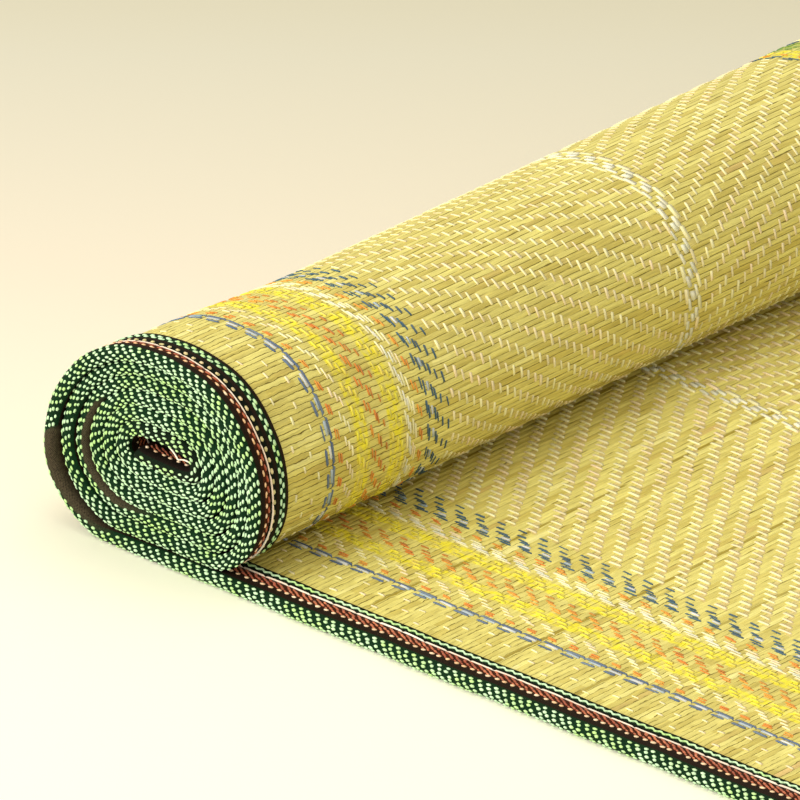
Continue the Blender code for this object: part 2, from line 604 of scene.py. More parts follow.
@dataclass
class WarpChart:
    """The warps across the mat: a coloured border, the twill field and the middle stripe.

    A strand of the rope along the turning line has its distance from that line, its start, span
    and half width, and its yarn.
    """

    width: float
    field_start: float = 96 * MM
    field_pitch: float = 3.235 * MM
    turning_warp: int = 36
    field_warps: int = 69
    field_repeat: int = 4
    field_span: float = 2.85
    field_half_width: float = 0.72 * MM
    field_back_share: float = 0.82
    rope_strands: tuple[tuple[float, float, float, float, Yarn], ...] = (
        (-3.2 * MM, 2.0, 3.6, 1.0 * MM, Yarn.CREAM), (-1.8 * MM, 0.0, 2.8, 0.9 * MM, Yarn.PEARL),
        (0.0 * MM, 3.0, 2.2, 1.3 * MM, Yarn.PEARL), (1.8 * MM, 2.0, 2.8, 0.9 * MM, Yarn.PEARL),
        (3.2 * MM, 0.0, 3.6, 1.0 * MM, Yarn.CREAM),
    )
    rope_lean: float = 0.6 * MM
    border_half_width: float = 0.42 * MM
    half_widths: tuple[tuple[Yarn, float], ...] = (
        (Yarn.CREAM, 0.5 * MM),
        (Yarn.ORANGE, 0.4 * MM),
        (Yarn.LEMON, 0.7 * MM),
        (Yarn.LILAC, 0.7 * MM),
        (Yarn.PEARL, 0.5 * MM),
        (Yarn.TEAL, 0.44 * MM),
    )

    def charted(self, courses: tuple[tuple[float, Yarn, float, float, int], ...]) -> list[Warp]:
        """Turn a table of warps into warps.

        Args:
            courses: For each warp its place in millimetres, yarn, start, span and repeat.

        Returns:
            The warps.
        """
        widths = dict(self.half_widths)
        return [
            Warp(place * MM, yarn, start, span, repeat, widths.get(yarn, self.border_half_width))
            for place, yarn, start, span, repeat in courses
        ]

    def chain(self) -> list[Warp]:
        """Chart the blue chain: floats that bow round pale ones and meet at their ends.

        Returns:
            The warps.
        """
        slate = Yarn.SLATE
        return [
            Warp(35.5 * MM, slate, 0.9, 3.2, 4, 0.58 * MM, bow=-0.4 * MM),
            Warp(36.9 * MM, Yarn.LILAC, 0.4, 3.0, 4, 0.85 * MM),
            Warp(37.2 * MM, slate, 3.6, 4.9, 4, 0.58 * MM, bow=1.6 * MM),
        ]

    def border(self) -> list[Warp]:
        """Chart the border.

        Returns:
            The warps, from the tape to the field.
        """
        cream, orange, lemon, teal = Yarn.CREAM, Yarn.ORANGE, Yarn.LEMON, Yarn.TEAL
        return self.chain() + self.charted((
            (20.2, cream, 0.0, 1.6, 8), (24.2, cream, 4.0, 1.6, 8),
            (28.0, cream, 2.0, 1.6, 8), (30.7, cream, 6.0, 1.6, 8),
            (40.6, orange, 2.2, 2.2, 4), (41.6, orange, 2.5, 2.2, 4),
            (44.4, cream, 0.0, 2.2, 4), (45.8, cream, 1.0, 2.2, 4), (47.2, cream, 2.0, 2.2, 4),
            (50.4, lemon, 0.0, 2.2, 4), (52.4, lemon, 1.0, 2.2, 4), (54.4, lemon, 2.0, 1.8, 4),
            (57.0, orange, 0.0, 2.2, 4), (58.0, orange, 0.7, 2.2, 4),
            (60.1, orange, 2.0, 2.2, 4), (61.1, Yarn.OCHRE, 2.7, 2.2, 4),
            (63.6, Yarn.OCHRE, 0.0, 1.8, 4),
            (66.6, lemon, 3.0, 1.8, 4), (69.0, lemon, 0.0, 2.2, 4), (71.2, lemon, 1.0, 1.8, 4),
            (73.4, cream, 0.0, 3.3, 4), (74.5, Yarn.PEARL, 0.9, 3.3, 4),
            (75.5, Yarn.PEARL, 2.4, 2.6, 4),
            (76.5, cream, 2.1, 3.3, 4), (77.7, cream, 3.0, 3.3, 4),
            (79.8, orange, 0.0, 2.2, 4), (80.9, orange, 0.8, 2.2, 4),
            (83.5, teal, 0.0, 3.0, 4), (84.6, teal, 0.9, 3.0, 4), (86.0, Yarn.LILAC, 1.4, 2.0, 4),
            (87.4, teal, 2.0, 2.4, 4), (88.4, teal, 2.8, 2.4, 4),
            (90.6, teal, 0.0, 2.3, 4), (93.4, teal, 1.0, 2.2, 4),
        ))

    def twill(self) -> list[Warp]:
        """Chart the field's warps, whose floats step one straw a warp and turn back half way.

        Returns:
            The warps from the border to the middle stripe.
        """
        warps = []
        for number in range(self.field_warps):
            from_turn = abs(number - self.turning_warp)
            if from_turn > 1:
                place = self.field_start + number * self.field_pitch
                start = (self.turning_warp - from_turn) % self.field_repeat
                warps.append(Warp(
                    place, Yarn.CREAM, start, self.field_span, self.field_repeat,
                    self.field_half_width, back_share=self.field_back_share,
                ))
        turn = self.field_start + self.turning_warp * self.field_pitch
        for offset, start, span, half_width, yarn in self.rope_strands:
            warps.append(
                Warp(turn + offset, yarn, start, span, self.field_repeat, half_width, self.rope_lean)
            )
        return warps

    def middle(self) -> list[Warp]:
        """Chart the stripe along the mat's middle.

        Returns:
            The warps, up to the stripe's centre.
        """
        cream, orange, lemon, teal = Yarn.CREAM, Yarn.ORANGE, Yarn.LEMON, Yarn.TEAL
        return self.charted((
            (317.9, teal, 0.0, 2.6, 4), (319.0, teal, 0.9, 2.6, 4),
            (321.4, orange, 2.0, 2.0, 4), (323.2, lemon, 0.0, 2.0, 4), (325.6, lemon, 1.0, 2.0, 4),
            (328.0, Yarn.LEAF, 0.0, 2.0, 4), (330.2, Yarn.LEAF, 1.0, 2.0, 4),
            (332.4, Yarn.LEAF, 2.0, 2.0, 4), (334.6, Yarn.LEAF, 3.0, 2.0, 4),
            (337.4, teal, 0.0, 2.2, 4), (338.6, teal, 0.8, 2.2, 4),
            (341.2, cream, 0.0, 2.0, 4), (342.6, cream, 1.0, 2.0, 4), (344.0, cream, 2.0, 2.0, 4),
            (346.8, orange, 0.0, 2.0, 4), (348.0, orange, 0.8, 2.0, 4),
        ))

    def whole(self) -> list[Warp]:
        """Chart the whole mat: one half, and the same warps mirrored in its middle."""
        half = self.border() + self.twill() + self.middle()
        return half + [replace(warp, place=self.width - warp.place) for warp in half]


class Graph:
    """Adds nodes to a node tree. An input may be given a number, a colour or another socket."""

    def __init__(self, tree: bpy.types.NodeTree) -> None:
        """Start on a tree."""
        self.tree = tree

    def feed(self, socket: Socket, value: object) -> None:
        """Set or link an input.

        Args:
            socket: The input.
            value: A plain value for it, or the output that feeds it.
        """
        if isinstance(value, Socket):
            self.tree.links.new(value, socket)
        else:
            socket.default_value = value

    def add(self, kind: str, inputs: dict[str | int, object], **settings: object) -> bpy.types.Node:
        """Add a node.

        Args:
            kind: The node's type.
            inputs: Values or sockets for its inputs, by name or number.
            **settings: The node's own settings.

        Returns:
            The node.
        """
        node = self.tree.nodes.new(kind)
        for name, value in settings.items():
            setattr(node, name, value)
        for key, value in inputs.items():
            self.feed(node.inputs[key], value)
        return node

    def math(self, operation: str, *values: object) -> Socket:
        """Add a Math node and return its result."""
        return self.add("ShaderNodeMath", dict(enumerate(values)), operation=operation).outputs[0]

    def plus(self, first: object, second: object) -> Socket:
        """Add two numbers."""
        return self.math("ADD", first, second)

    def minus(self, first: object, second: object) -> Socket:
        """Take the second number from the first."""
        return self.math("SUBTRACT", first, second)

    def times(self, first: object, second: object) -> Socket:
        """Multiply two numbers."""
        return self.math("MULTIPLY", first, second)

    def scaled(self, value: object, factor: object, start: object) -> Socket:
        """Multiply a number by a factor and add it to a start."""
        return self.math("MULTIPLY_ADD", value, factor, start)

    def mix(self, factor: object, first: object, second: object, blend: str = "MIX") -> Socket:
        """Mix two colours and return the result."""
        inputs = {0: factor, 6: first, 7: second}
        return self.add("ShaderNodeMix", inputs, data_type="RGBA", blend_type=blend).outputs[2]

    def vector(self, x: object, y: object) -> Socket:
        """Join two numbers into a flat vector."""
        return self.add("ShaderNodeCombineXYZ", {0: x, 1: y, 2: 0.0}).outputs[0]

    def stretched(self, x: object, y: object, scale: tuple[float, float]) -> Socket:
        """Join two numbers into a vector, each multiplied by its own scale first."""
        return self.vector(self.times(x, scale[0]), self.times(y, scale[1]))

    def grey(self, value: object) -> Socket:
        """Turn a number into a grey."""
        return self.add("ShaderNodeCombineColor", {0: value, 1: value, 2: value}).outputs[0]

    def noise(self, vector: object, scale: float, detail: float = 2.0) -> Socket:
        """Add a noise texture and return its value, from about 0 to 1."""
        inputs = {"Vector": vector, "Scale": scale, "Detail": detail}
        return self.add("ShaderNodeTexNoise", inputs).outputs[0]

    def patches(
        self, x: object, y: object, scale: tuple[float, float], detail: float = 2.0,
    ) -> Socket:
        """Add a noise over two numbers and return its value, from about 0 to 1."""
        return self.noise(self.stretched(x, y, scale), 1.0, detail)

    def chance(self, x: object, y: object = 0.0) -> Socket:
        """Draw an even number from 0 to 1 for each pair of whole numbers."""
        inputs = {"Vector": self.vector(x, y)}
        return self.add("ShaderNodeTexWhiteNoise", inputs, noise_dimensions="2D").outputs["Value"]

    def ease(self, value: object, low: float, high: float) -> Socket:
        """Ease from 0 at one value to 1 at another and return the result."""
        inputs = {"Value": value, "From Min": low, "From Max": high}
        return self.add("ShaderNodeMapRange", inputs, interpolation_type="SMOOTHSTEP").outputs[0]

    def stops(
        self, value: object, stops: tuple[tuple[float, Colour], ...], kind: str = "LINEAR",
    ) -> Socket:
        """Look a value up in a row of colours.

        Args:
            value: The value, from 0 to 1.
            stops: The places of the colours, each with its colour.
            kind: How the colours run into each other.

        Returns:
            The colour.
        """
        node = self.add("ShaderNodeValToRGB", {0: value})
        node.color_ramp.interpolation = kind
        for number, (place, colour) in enumerate(stops):
            elements = node.color_ramp.elements
            element = elements[number] if number < 2 else elements.new(place)
            element.position = place
            element.color = colour
        return node.outputs[0]

    def read(self, attribute: str) -> Socket:
        """Read a piece's own attribute."""
        return self.add("ShaderNodeAttribute", {}, attribute_name=attribute).outputs["Fac"]

    def ways(self) -> tuple[Socket, Socket]:
        """Read a sheet's pattern coordinates, along and across."""
        uv = self.add("ShaderNodeUVMap", {}, uv_map="weave").outputs[0]
        return tuple(self.add("ShaderNodeSeparateXYZ", {0: uv}).outputs[:2])

    def place(self) -> Socket:
        """Read the shaded point's place."""
        return self.add("ShaderNodeTexCoord", {}).outputs["Object"]

    def relief(self, shader: bpy.types.Node, height: Socket, strength: float, depth: float) -> None:
        """Give a shader a relief of some strength and depth from a height."""
        inputs = {"Strength": strength, "Distance": depth, "Height": height}
        self.feed(shader.inputs["Normal"], self.add("ShaderNodeBump", inputs).outputs[0])

    def group(self, name: str, inputs: dict[str, object]) -> Socket:
        """Place a shared node group with its own values.

        Args:
            name: The group's name.
            inputs: Values or sockets for its inputs, by name.

        Returns:
            The group's result.
        """
        node = self.tree.nodes.new("ShaderNodeGroup")
        node.node_tree = bpy.data.node_groups[name]
        for key, value in inputs.items():
            self.feed(node.inputs[key], value)
        return node.outputs[0]


def shared_group(
    name: str, inputs: dict[str, object], result: str, wire: Callable[[Graph, Sockets], Socket],
) -> None:
    """Build a node group that several materials use.

    Args:
        name: The group's name.
        inputs: Its inputs, each with its usual value: a number, a colour, or None for a vector.
        result: The socket type of its result.
        wire: Adds the nodes, and gives what feeds the result.
    """
    tree = bpy.data.node_groups.new(name, "ShaderNodeTree")
    for key, value in inputs.items():
        kind = {float: "Float", tuple: "Color"}.get(type(value), "Vector")
        socket = tree.interface.new_socket(
            name=key, in_out="INPUT", socket_type=f"NodeSocket{kind}"
        )
        if value is not None:
            socket.default_value = value
    tree.interface.new_socket(name="Result", in_out="OUTPUT", socket_type=result)
    entry = tree.nodes.new("NodeGroupInput")
    leave = tree.nodes.new("NodeGroupOutput")
    fed = wire(Graph(tree), {socket.name: socket for socket in entry.outputs if socket.name})
    tree.links.new(fed, leave.inputs["Result"])


def wire_dash(g: Graph, i: Sockets) -> Socket:
    """Wire a row of dashes.

    Args:
        g: The group's graph.
        i: The group's inputs.

    Returns:
        How far each point lies inside a dash, from 0 to 1.
    """
    blunt_end = 4.0
    outside, inside = 1.15, 0.7
    turned = g.math("FLOORED_MODULO", g.minus(i["Along"], i["Start"]), i["Repeat"])
    middle = g.times(i["Span"], 0.5)
    lengthwise = g.math("DIVIDE", g.math("ABSOLUTE", g.minus(turned, middle)), middle)
    sideways = g.math("DIVIDE", g.minus(i["Across"], i["Place"]), i["Width"])
    square = g.math("POWER", g.math("ABSOLUTE", sideways), 2.0)
    far = g.plus(g.math("POWER", lengthwise, blunt_end), square)
    return g.ease(far, outside, inside)


def wire_fibre(g: Graph, i: Sockets) -> Socket:
    """Wire the fine streaks along a stalk.

    Args:
        g: The group's graph.
        i: The group's inputs.

    Returns:
        The streaks, from about 0 to 1.
    """
    coarse_share = 0.6
    fine_share = 0.4
    finer = 3.1
    coarse = g.times(g.noise(i["Vector"], 1.0, 3.0), coarse_share)
    fine = g.times(g.noise(i["Vector"], finer), fine_share)
    return g.plus(coarse, fine)


def wire_tone(g: Graph, i: Sockets) -> Socket:
    """Wire a colour that a number from 0 to 1 makes darker or lighter.

    Args:
        g: The group's graph.
        i: The group's inputs.

    Returns:
        The colour.
    """
    bright = g.plus(g.times(g.minus(i["Tone"], 0.5), i["Spread"]), 1.0)
    return g.mix(1.0, i["Colour"], g.grey(bright), "MULTIPLY")


def build_shared_groups() -> None:
    """Build the effects that more than one finish uses."""
    dash = {
        "Along": 0.0,
        "Across": 0.0,
        "Start": 0.0,
        "Span": 2.0,
        "Repeat": 4.0,
        "Place": 0.0,
        "Width": 0.4,
    }
    tone = {"Colour": (1.0, 1.0, 1.0, 1.0), "Tone": 0.5, "Spread": 0.4}
    shared_group("Yarn dash", dash, "NodeSocketFloat", wire_dash)
    shared_group("Fibre grain", {"Vector": None}, "NodeSocketFloat", wire_fibre)
    shared_group("Tone shift", tone, "NodeSocketColor", wire_tone)


def new_material(name: str) -> tuple[bpy.types.Material, Graph, bpy.types.Node]:
    """Start a material.

    Args:
        name: The material's name.

    Returns:
        The material, its graph and its shader.
    """
    material = bpy.data.materials.new(name)
    material.use_nodes = True
    return material, Graph(material.node_tree), material.node_tree.nodes["Principled BSDF"]


@dataclass(frozen=True)
class WeavePlace:
    """Where a shaded point lies in the weave.

    The row counts straws, and the share is the way across one. Mirrored is the distance from the
    mat's nearer edge in millimetres. Where two warps lie on a straw side by side it is pressed
    in, and pressed is the distance from there in warps. Each brick is a straw's stretch between.
    """

    straw: Socket
    row: Socket
    share: Socket
    across: Socket
    mirrored: Socket
    number: Socket
    pressed: Socket
    brick: Socket


@dataclass(frozen=True)
class StrawFinish:
    """Split straw: stalks of many tones, dyed stripes, the warps' painted floats, and painted shade in
    the gaps and where warps press the straws in.

    A scale is how fast a noise changes, for a straw along the mat and for a millimetre across. A
    mask is the pair of values between which an effect comes in. Zones and the border's end are in
    millimetres from the mat's edge, and every share is of a full effect.
    """

    stalk_tones: tuple[tuple[float, Colour], ...] = (
        (0.0, pigment(222, 190, 128)),
        (0.22, pigment(202, 186, 96)),
        (0.45, pigment(217, 205, 118)),
        (0.7, pigment(229, 219, 130)),
        (1.0, pigment(244, 237, 166)),
    )
    # Painted shade in the gaps between the straws.
    shaded_gap: Colour = pigment(104, 88, 14)
    aged: Colour = pigment(146, 124, 20)
    # Painted shade on the straws that two warps press in.
    tucked_shade: Colour = pigment(204, 180, 130)
    yellow: Colour = pigment(244, 232, 56)
    green: Colour = pigment(160, 184, 76)
    yellow_zones: tuple[tuple[float, float], ...] = ((49.3, 55.6), (65.4, 72.3), (319.8, 326.6))
    green_zones: tuple[tuple[float, float], ...] = ((326.8, 336.4),)
    sway: float = 0.3
    sway_scale: tuple[float, float] = (0.35, 0.1)
    border_sway: float = 0.55
    border_sway_scale: tuple[float, float] = (0.7, 0.3)
    border_end: float = 88.0
    fibre_scale: tuple[float, float] = (3.5, 0.07)
    tone_scale: tuple[float, float] = (5.3, 0.018)
    tone_shares: tuple[float, float, float] = (0.34, 0.62, 0.34)
    tone_shift: float = 0.16
    blotch_scale: tuple[float, float] = (2.7, 0.03)
    aged_chance: tuple[float, float] = (0.945, 0.95)
    aged_draw: float = 7.0
    blotch_mask: tuple[float, float] = (0.34, 0.44)
    aged_mask: tuple[float, float] = (0.32, 0.24)
    aged_by_fibre: float = 0.8
    aged_least: float = 0.4
    dye_scale: tuple[float, float] = (0.6, 0.38)
    dye_mask: tuple[float, float] = (0.42, 0.6)
    dye_share: float = 0.7
    dye_least: float = 0.22
    dye_edge: float = 0.5
    wedge_scale: tuple[float, float] = (3.9, 0.12)
    wedge_mask: tuple[float, float] = (0.55, 0.8)
    gap_reach: float = 0.055
    gap_widening: float = 0.1
    gap_mask: tuple[float, float] = (1.4, 0.5)
    break_scale: tuple[float, float] = (6.1, 0.1)
    break_mask: tuple[float, float] = (0.44, 0.68)
    border_mask: tuple[float, float] = (90.0, 78.0)
    fewer_breaks_on_back: float = 0.14
    fewer_breaks_in_border: float = 0.12
    gap_share: float = 0.92
    field_outside: float = 0.6
    field_inside: float = 0.2
    tucked_mask: tuple[float, float] = (0.62, 0.3)
    tucked_share: float = 0.6
    tucked_less_on_back: float = 0.3
    streaks: float = 1.35
    roughness: float = 0.46
    shine: float = 0.3
    relief: float = 0.6
    relief_depth: float = 0.3 * MM
    swell_reach: float = 1.3
    relief_of_swell: float = 0.9
    relief_of_fibre: float = 0.4
    relief_of_gap: float = -0.6

    def weave_place(self, g: Graph, chart: WarpChart) -> WeavePlace:
        """Find where a shaded point lies in the weave.

        Args:
            g: The material's graph.
            chart: The warps.

        Returns:
            The place.
        """
        along, across = g.ways()
        wave = g.patches(along, across, self.sway_scale)
        straw = g.scaled(g.minus(wave, 0.5), self.sway, along)
        mirrored = g.math("MINIMUM", across, g.minus(chart.width / MM, across))
        ripple = g.patches(along, across, self.border_sway_scale)
        in_border = g.ease(mirrored, chart.field_start / MM, self.border_end)
        straw = g.scaled(g.minus(ripple, 0.5), g.times(in_border, self.border_sway), straw)
        row = g.math("FLOOR", straw)
        from_start = g.minus(mirrored, chart.field_start / MM)
        number = g.math("DIVIDE", from_start, chart.field_pitch / MM)
        from_turn = g.math("ABSOLUTE", g.minus(number, float(chart.turning_warp)))
        folded = g.minus(chart.turning_warp + 0.5, from_turn)
        repeat, half = float(chart.field_repeat), chart.field_repeat / 2
        offset = g.scaled(g.read("back"), half, g.minus(folded, row))
        within = g.minus(g.math("FLOORED_MODULO", offset, repeat), half)
        return WeavePlace(
            straw=straw,
            row=row,
            share=g.math("FRACT", straw),
            across=across,
            mirrored=mirrored,
            number=number,
            pressed=g.minus(half, g.math("ABSOLUTE", within)),
            brick=g.math("FLOOR", g.math("DIVIDE", offset, repeat)),
        )

    def build(self, chart: WarpChart) -> bpy.types.Material:
        """Make the material.

        Args:
            chart: The warps, whose floats are painted where no thread is laid.

        Returns:
            The material.
        """
        material, g, shader = new_material("Split straw")
        at = self.weave_place(g, chart)
        fibre = g.group("Fibre grain", {"Vector": g.stretched(at.straw, at.across, self.fibre_scale)})
        colour = self.dyed(g, at, self.stalks(g, at, fibre))
        # Painted shade on the straws that the warps press in.
        colour = self.shade_tucked_in(g, chart, at, colour)
        colour = g.group("Tone shift", {"Colour": colour, "Tone": fibre, "Spread": self.streaks})
        # Painted shade: the gaps between the straws are darkened.
        shaded_gap = self.gaps(g, at)
        colour = g.mix(g.times(shaded_gap, self.gap_share), colour, self.shaded_gap)
        colour, floats = self.painted_floats(g, chart, at, colour)
        g.feed(shader.inputs["Base Color"], colour)
        shader.inputs["Roughness"].default_value = self.roughness
        shader.inputs["Specular IOR Level"].default_value = self.shine
        swell = g.times(g.ease(at.pressed, 0.0, self.swell_reach), self.relief_of_swell)
        stalk = g.scaled(fibre, self.relief_of_fibre, g.scaled(shaded_gap, self.relief_of_gap, swell))
        g.relief(shader, g.plus(stalk, floats), self.relief, self.relief_depth)
        return material

    def stalks(self, g: Graph, at: WeavePlace, fibre: Socket) -> Socket:
        """Colour the straws, each with its own tone that changes along it.

        Args:
            g: The material's graph.
            at: The place in the weave.
            fibre: The straw's fine streaks.

        Returns:
            The colour.
        """
        by_straw, by_place, by_brick = self.tone_shares
        slow = g.times(g.patches(at.row, at.across, self.tone_scale), by_place)
        tone = g.minus(g.scaled(g.chance(at.row), by_straw, slow), self.tone_shift)
        tone = g.scaled(g.chance(at.row, at.brick), by_brick, tone)
        colour = g.stops(tone, self.stalk_tones)
        blotch = g.ease(g.patches(at.row, at.across, self.blotch_scale, 1.0), *self.blotch_mask)
        aged = g.times(g.ease(g.chance(at.row, self.aged_draw), *self.aged_chance), blotch)
        from_middle = g.math("ABSOLUTE", g.minus(at.share, 0.5))
        aged = g.times(aged, g.ease(from_middle, *self.aged_mask))
        share = g.scaled(fibre, self.aged_by_fibre, self.aged_least)
        return g.mix(g.times(aged, share), colour, self.aged)

    def dyed(self, g: Graph, at: WeavePlace, colour: Socket) -> Socket:
        """Dye the yellow and green stripes, in uneven short stretches of straw.

        Args:
            g: The material's graph.
            at: The place in the weave.
            colour: The straw's colour.

        Returns:
            The colour.
        """
        patch = g.ease(g.patches(at.straw, at.across, self.dye_scale), *self.dye_mask)
        uneven = g.scaled(patch, self.dye_share, self.dye_least)
        for zones, dye in ((self.yellow_zones, self.yellow), (self.green_zones, self.green)):
            for first, last in zones:
                rise = g.ease(at.mirrored, first - self.dye_edge, first + self.dye_edge)
                fall = g.ease(at.mirrored, last + self.dye_edge, last - self.dye_edge)
                colour = g.mix(g.times(g.times(rise, fall), uneven), colour, dye)
        return colour

    def shade_tucked_in(self, g: Graph, chart: WarpChart, at: WeavePlace, colour: Socket) -> Socket:
        """Paint shade on the field's straws where two warps press them in.

        Args:
            g: The material's graph.
            chart: The warps.
            at: The place in the weave.
            colour: The straw's colour.

        Returns:
            The colour.
        """
        last = chart.field_warps - 1
        outside, inside = self.field_outside, self.field_inside
        after_first = g.ease(at.number, -outside, -inside)
        before_last = g.ease(at.number, last + outside, last + inside)
        low = g.times(g.ease(at.pressed, *self.tucked_mask), g.times(after_first, before_last))
        share = g.scaled(g.read("back"), -self.tucked_less_on_back, self.tucked_share)
        # Painted shade on the pressed-in stretches, less on the mat's back.
        return g.mix(g.times(low, share), colour, self.tucked_shade)

    def gaps(self, g: Graph, at: WeavePlace) -> Socket:
        """Mark the painted shade in the gaps between straws: thin dark lines that widen here and there
        and stop and start.

        Args:
            g: The material's graph.
            at: The place in the weave.

        Returns:
            The mask.
        """
        line = g.math("ROUND", at.straw)
        inside = g.math("MINIMUM", at.share, g.minus(1.0, at.share))
        wedge = g.ease(g.patches(line, at.across, self.wedge_scale), *self.wedge_mask)
        reach = g.scaled(wedge, self.gap_widening, self.gap_reach)
        patchy = g.patches(line, at.across, self.break_scale)
        patchy = g.scaled(g.read("back"), self.fewer_breaks_on_back, patchy)
        in_border = g.ease(at.mirrored, *self.border_mask)
        patchy = g.scaled(in_border, self.fewer_breaks_in_border, patchy)
        open_gap = g.ease(g.math("DIVIDE", inside, reach), *self.gap_mask)
        return g.times(open_gap, g.ease(patchy, *self.break_mask))

    def painted_floats(
        self, g: Graph, chart: WarpChart, at: WeavePlace, colour: Socket,
    ) -> tuple[Socket, Socket]:
        """Paint the warps' floats where they are out of sight and no threads are laid.

        Args:
            g: The material's graph.
            chart: The warps.
            at: The place in the weave.
            colour: The straw's colour.

        Returns:
            The colour with the floats, and a mask of them all.
        """
        plain = g.read("plain")
        number = g.math("MAXIMUM", g.math("ROUND", at.number), 0.0)
        number = g.math("MINIMUM", number, chart.field_warps - 1.0)
        from_turn = g.math("ABSOLUTE", g.minus(number, float(chart.turning_warp)))
        weave = {"Along": at.straw, "Across": at.mirrored}
        twill = weave | {
            "Start": g.minus(chart.turning_warp + chart.field_repeat / 2, from_turn),
            "Place": g.scaled(number, chart.field_pitch / MM, chart.field_start / MM),
        }
        total = g.times(g.group("Yarn dash", twill), plain)
        colour = g.mix(total, colour, Yarn.CREAM.colour)
        for warp in chart.border() + chart.middle():
            row = weave | {
                "Start": warp.start_on(Face.BACK),
                "Span": warp.span,
                "Repeat": float(warp.repeat),
                "Place": warp.place / MM,
                "Width": warp.half_width / MM,
            }
            mask = g.times(g.group("Yarn dash", row), plain)
            colour = g.mix(mask, colour, warp.yarn.colour)
            total = g.math("MAXIMUM", total, mask)
        return colour, total


@dataclass(frozen=True)
class YarnFinish:
    """A twisted yarn of one colour, uneven from float to float."""

    yarn: Yarn
    roughness: float = 0.6
    spread: float = 0.36
    sheen: float = 0.2
    patches: float = 60.0
    patch_mask: tuple[float, float] = (0.42, 0.6)
    patch_by_tone: float = 0.6
    patch_least: float = 0.4
    fuzz: float = 2600.0
    fuzz_share: float = 0.3
    relief: float = 0.3
    relief_depth: float = 0.15 * MM

    def build(self) -> bpy.types.Material:
        """Make the material.

        Returns:
            The material.
        """
        material, g, shader = new_material(f"{self.yarn.name.capitalize()} yarn")
        place = g.place()
        fuzz = g.noise(place, self.fuzz)
        tone = g.plus(g.times(g.read("tone"), 1.0 - self.fuzz_share), g.times(fuzz, self.fuzz_share))
        patch = g.ease(g.noise(place, self.patches, 1.0), *self.patch_mask)
        patch = g.times(patch, g.scaled(g.read("tone"), self.patch_by_tone, self.patch_least))
        inputs = {
            "Colour": g.mix(patch, self.yarn.colour, self.yarn.stray),
            "Tone": tone,
            "Spread": self.spread,
        }
        g.feed(shader.inputs["Base Color"], g.group("Tone shift", inputs))
        shader.inputs["Roughness"].default_value = self.roughness
        shader.inputs["Sheen Weight"].default_value = self.sheen
        g.relief(shader, fuzz, self.relief, self.relief_depth)
        return material


@dataclass(frozen=True)
class TapeRow:
    """One row of yarn floats on the tape.

    The place is the way round from the front flange's free edge, the stagger is in dot pitches,
    and the slant is how far a float moves round the tape for each step along it.
    """

    place: float
    yarn: Yarn
    stagger: float
    length: float = 1.7 * MM
    width: float = 0.92 * MM
    slant: float = 0.0


@dataclass(frozen=True)
class TapeThread:
    """A thread along the tape, laid in equal lengths.

    The sink is how far both ends of a length dip, the wave how far it winds from side to side,
    and the drift how far the whole thread wanders.
    """

    yarn: Yarn
    place: float
    length: float
    radius: float
    sink: float = 0.0
    wave: float = 0.0
    drift: float = 0.0


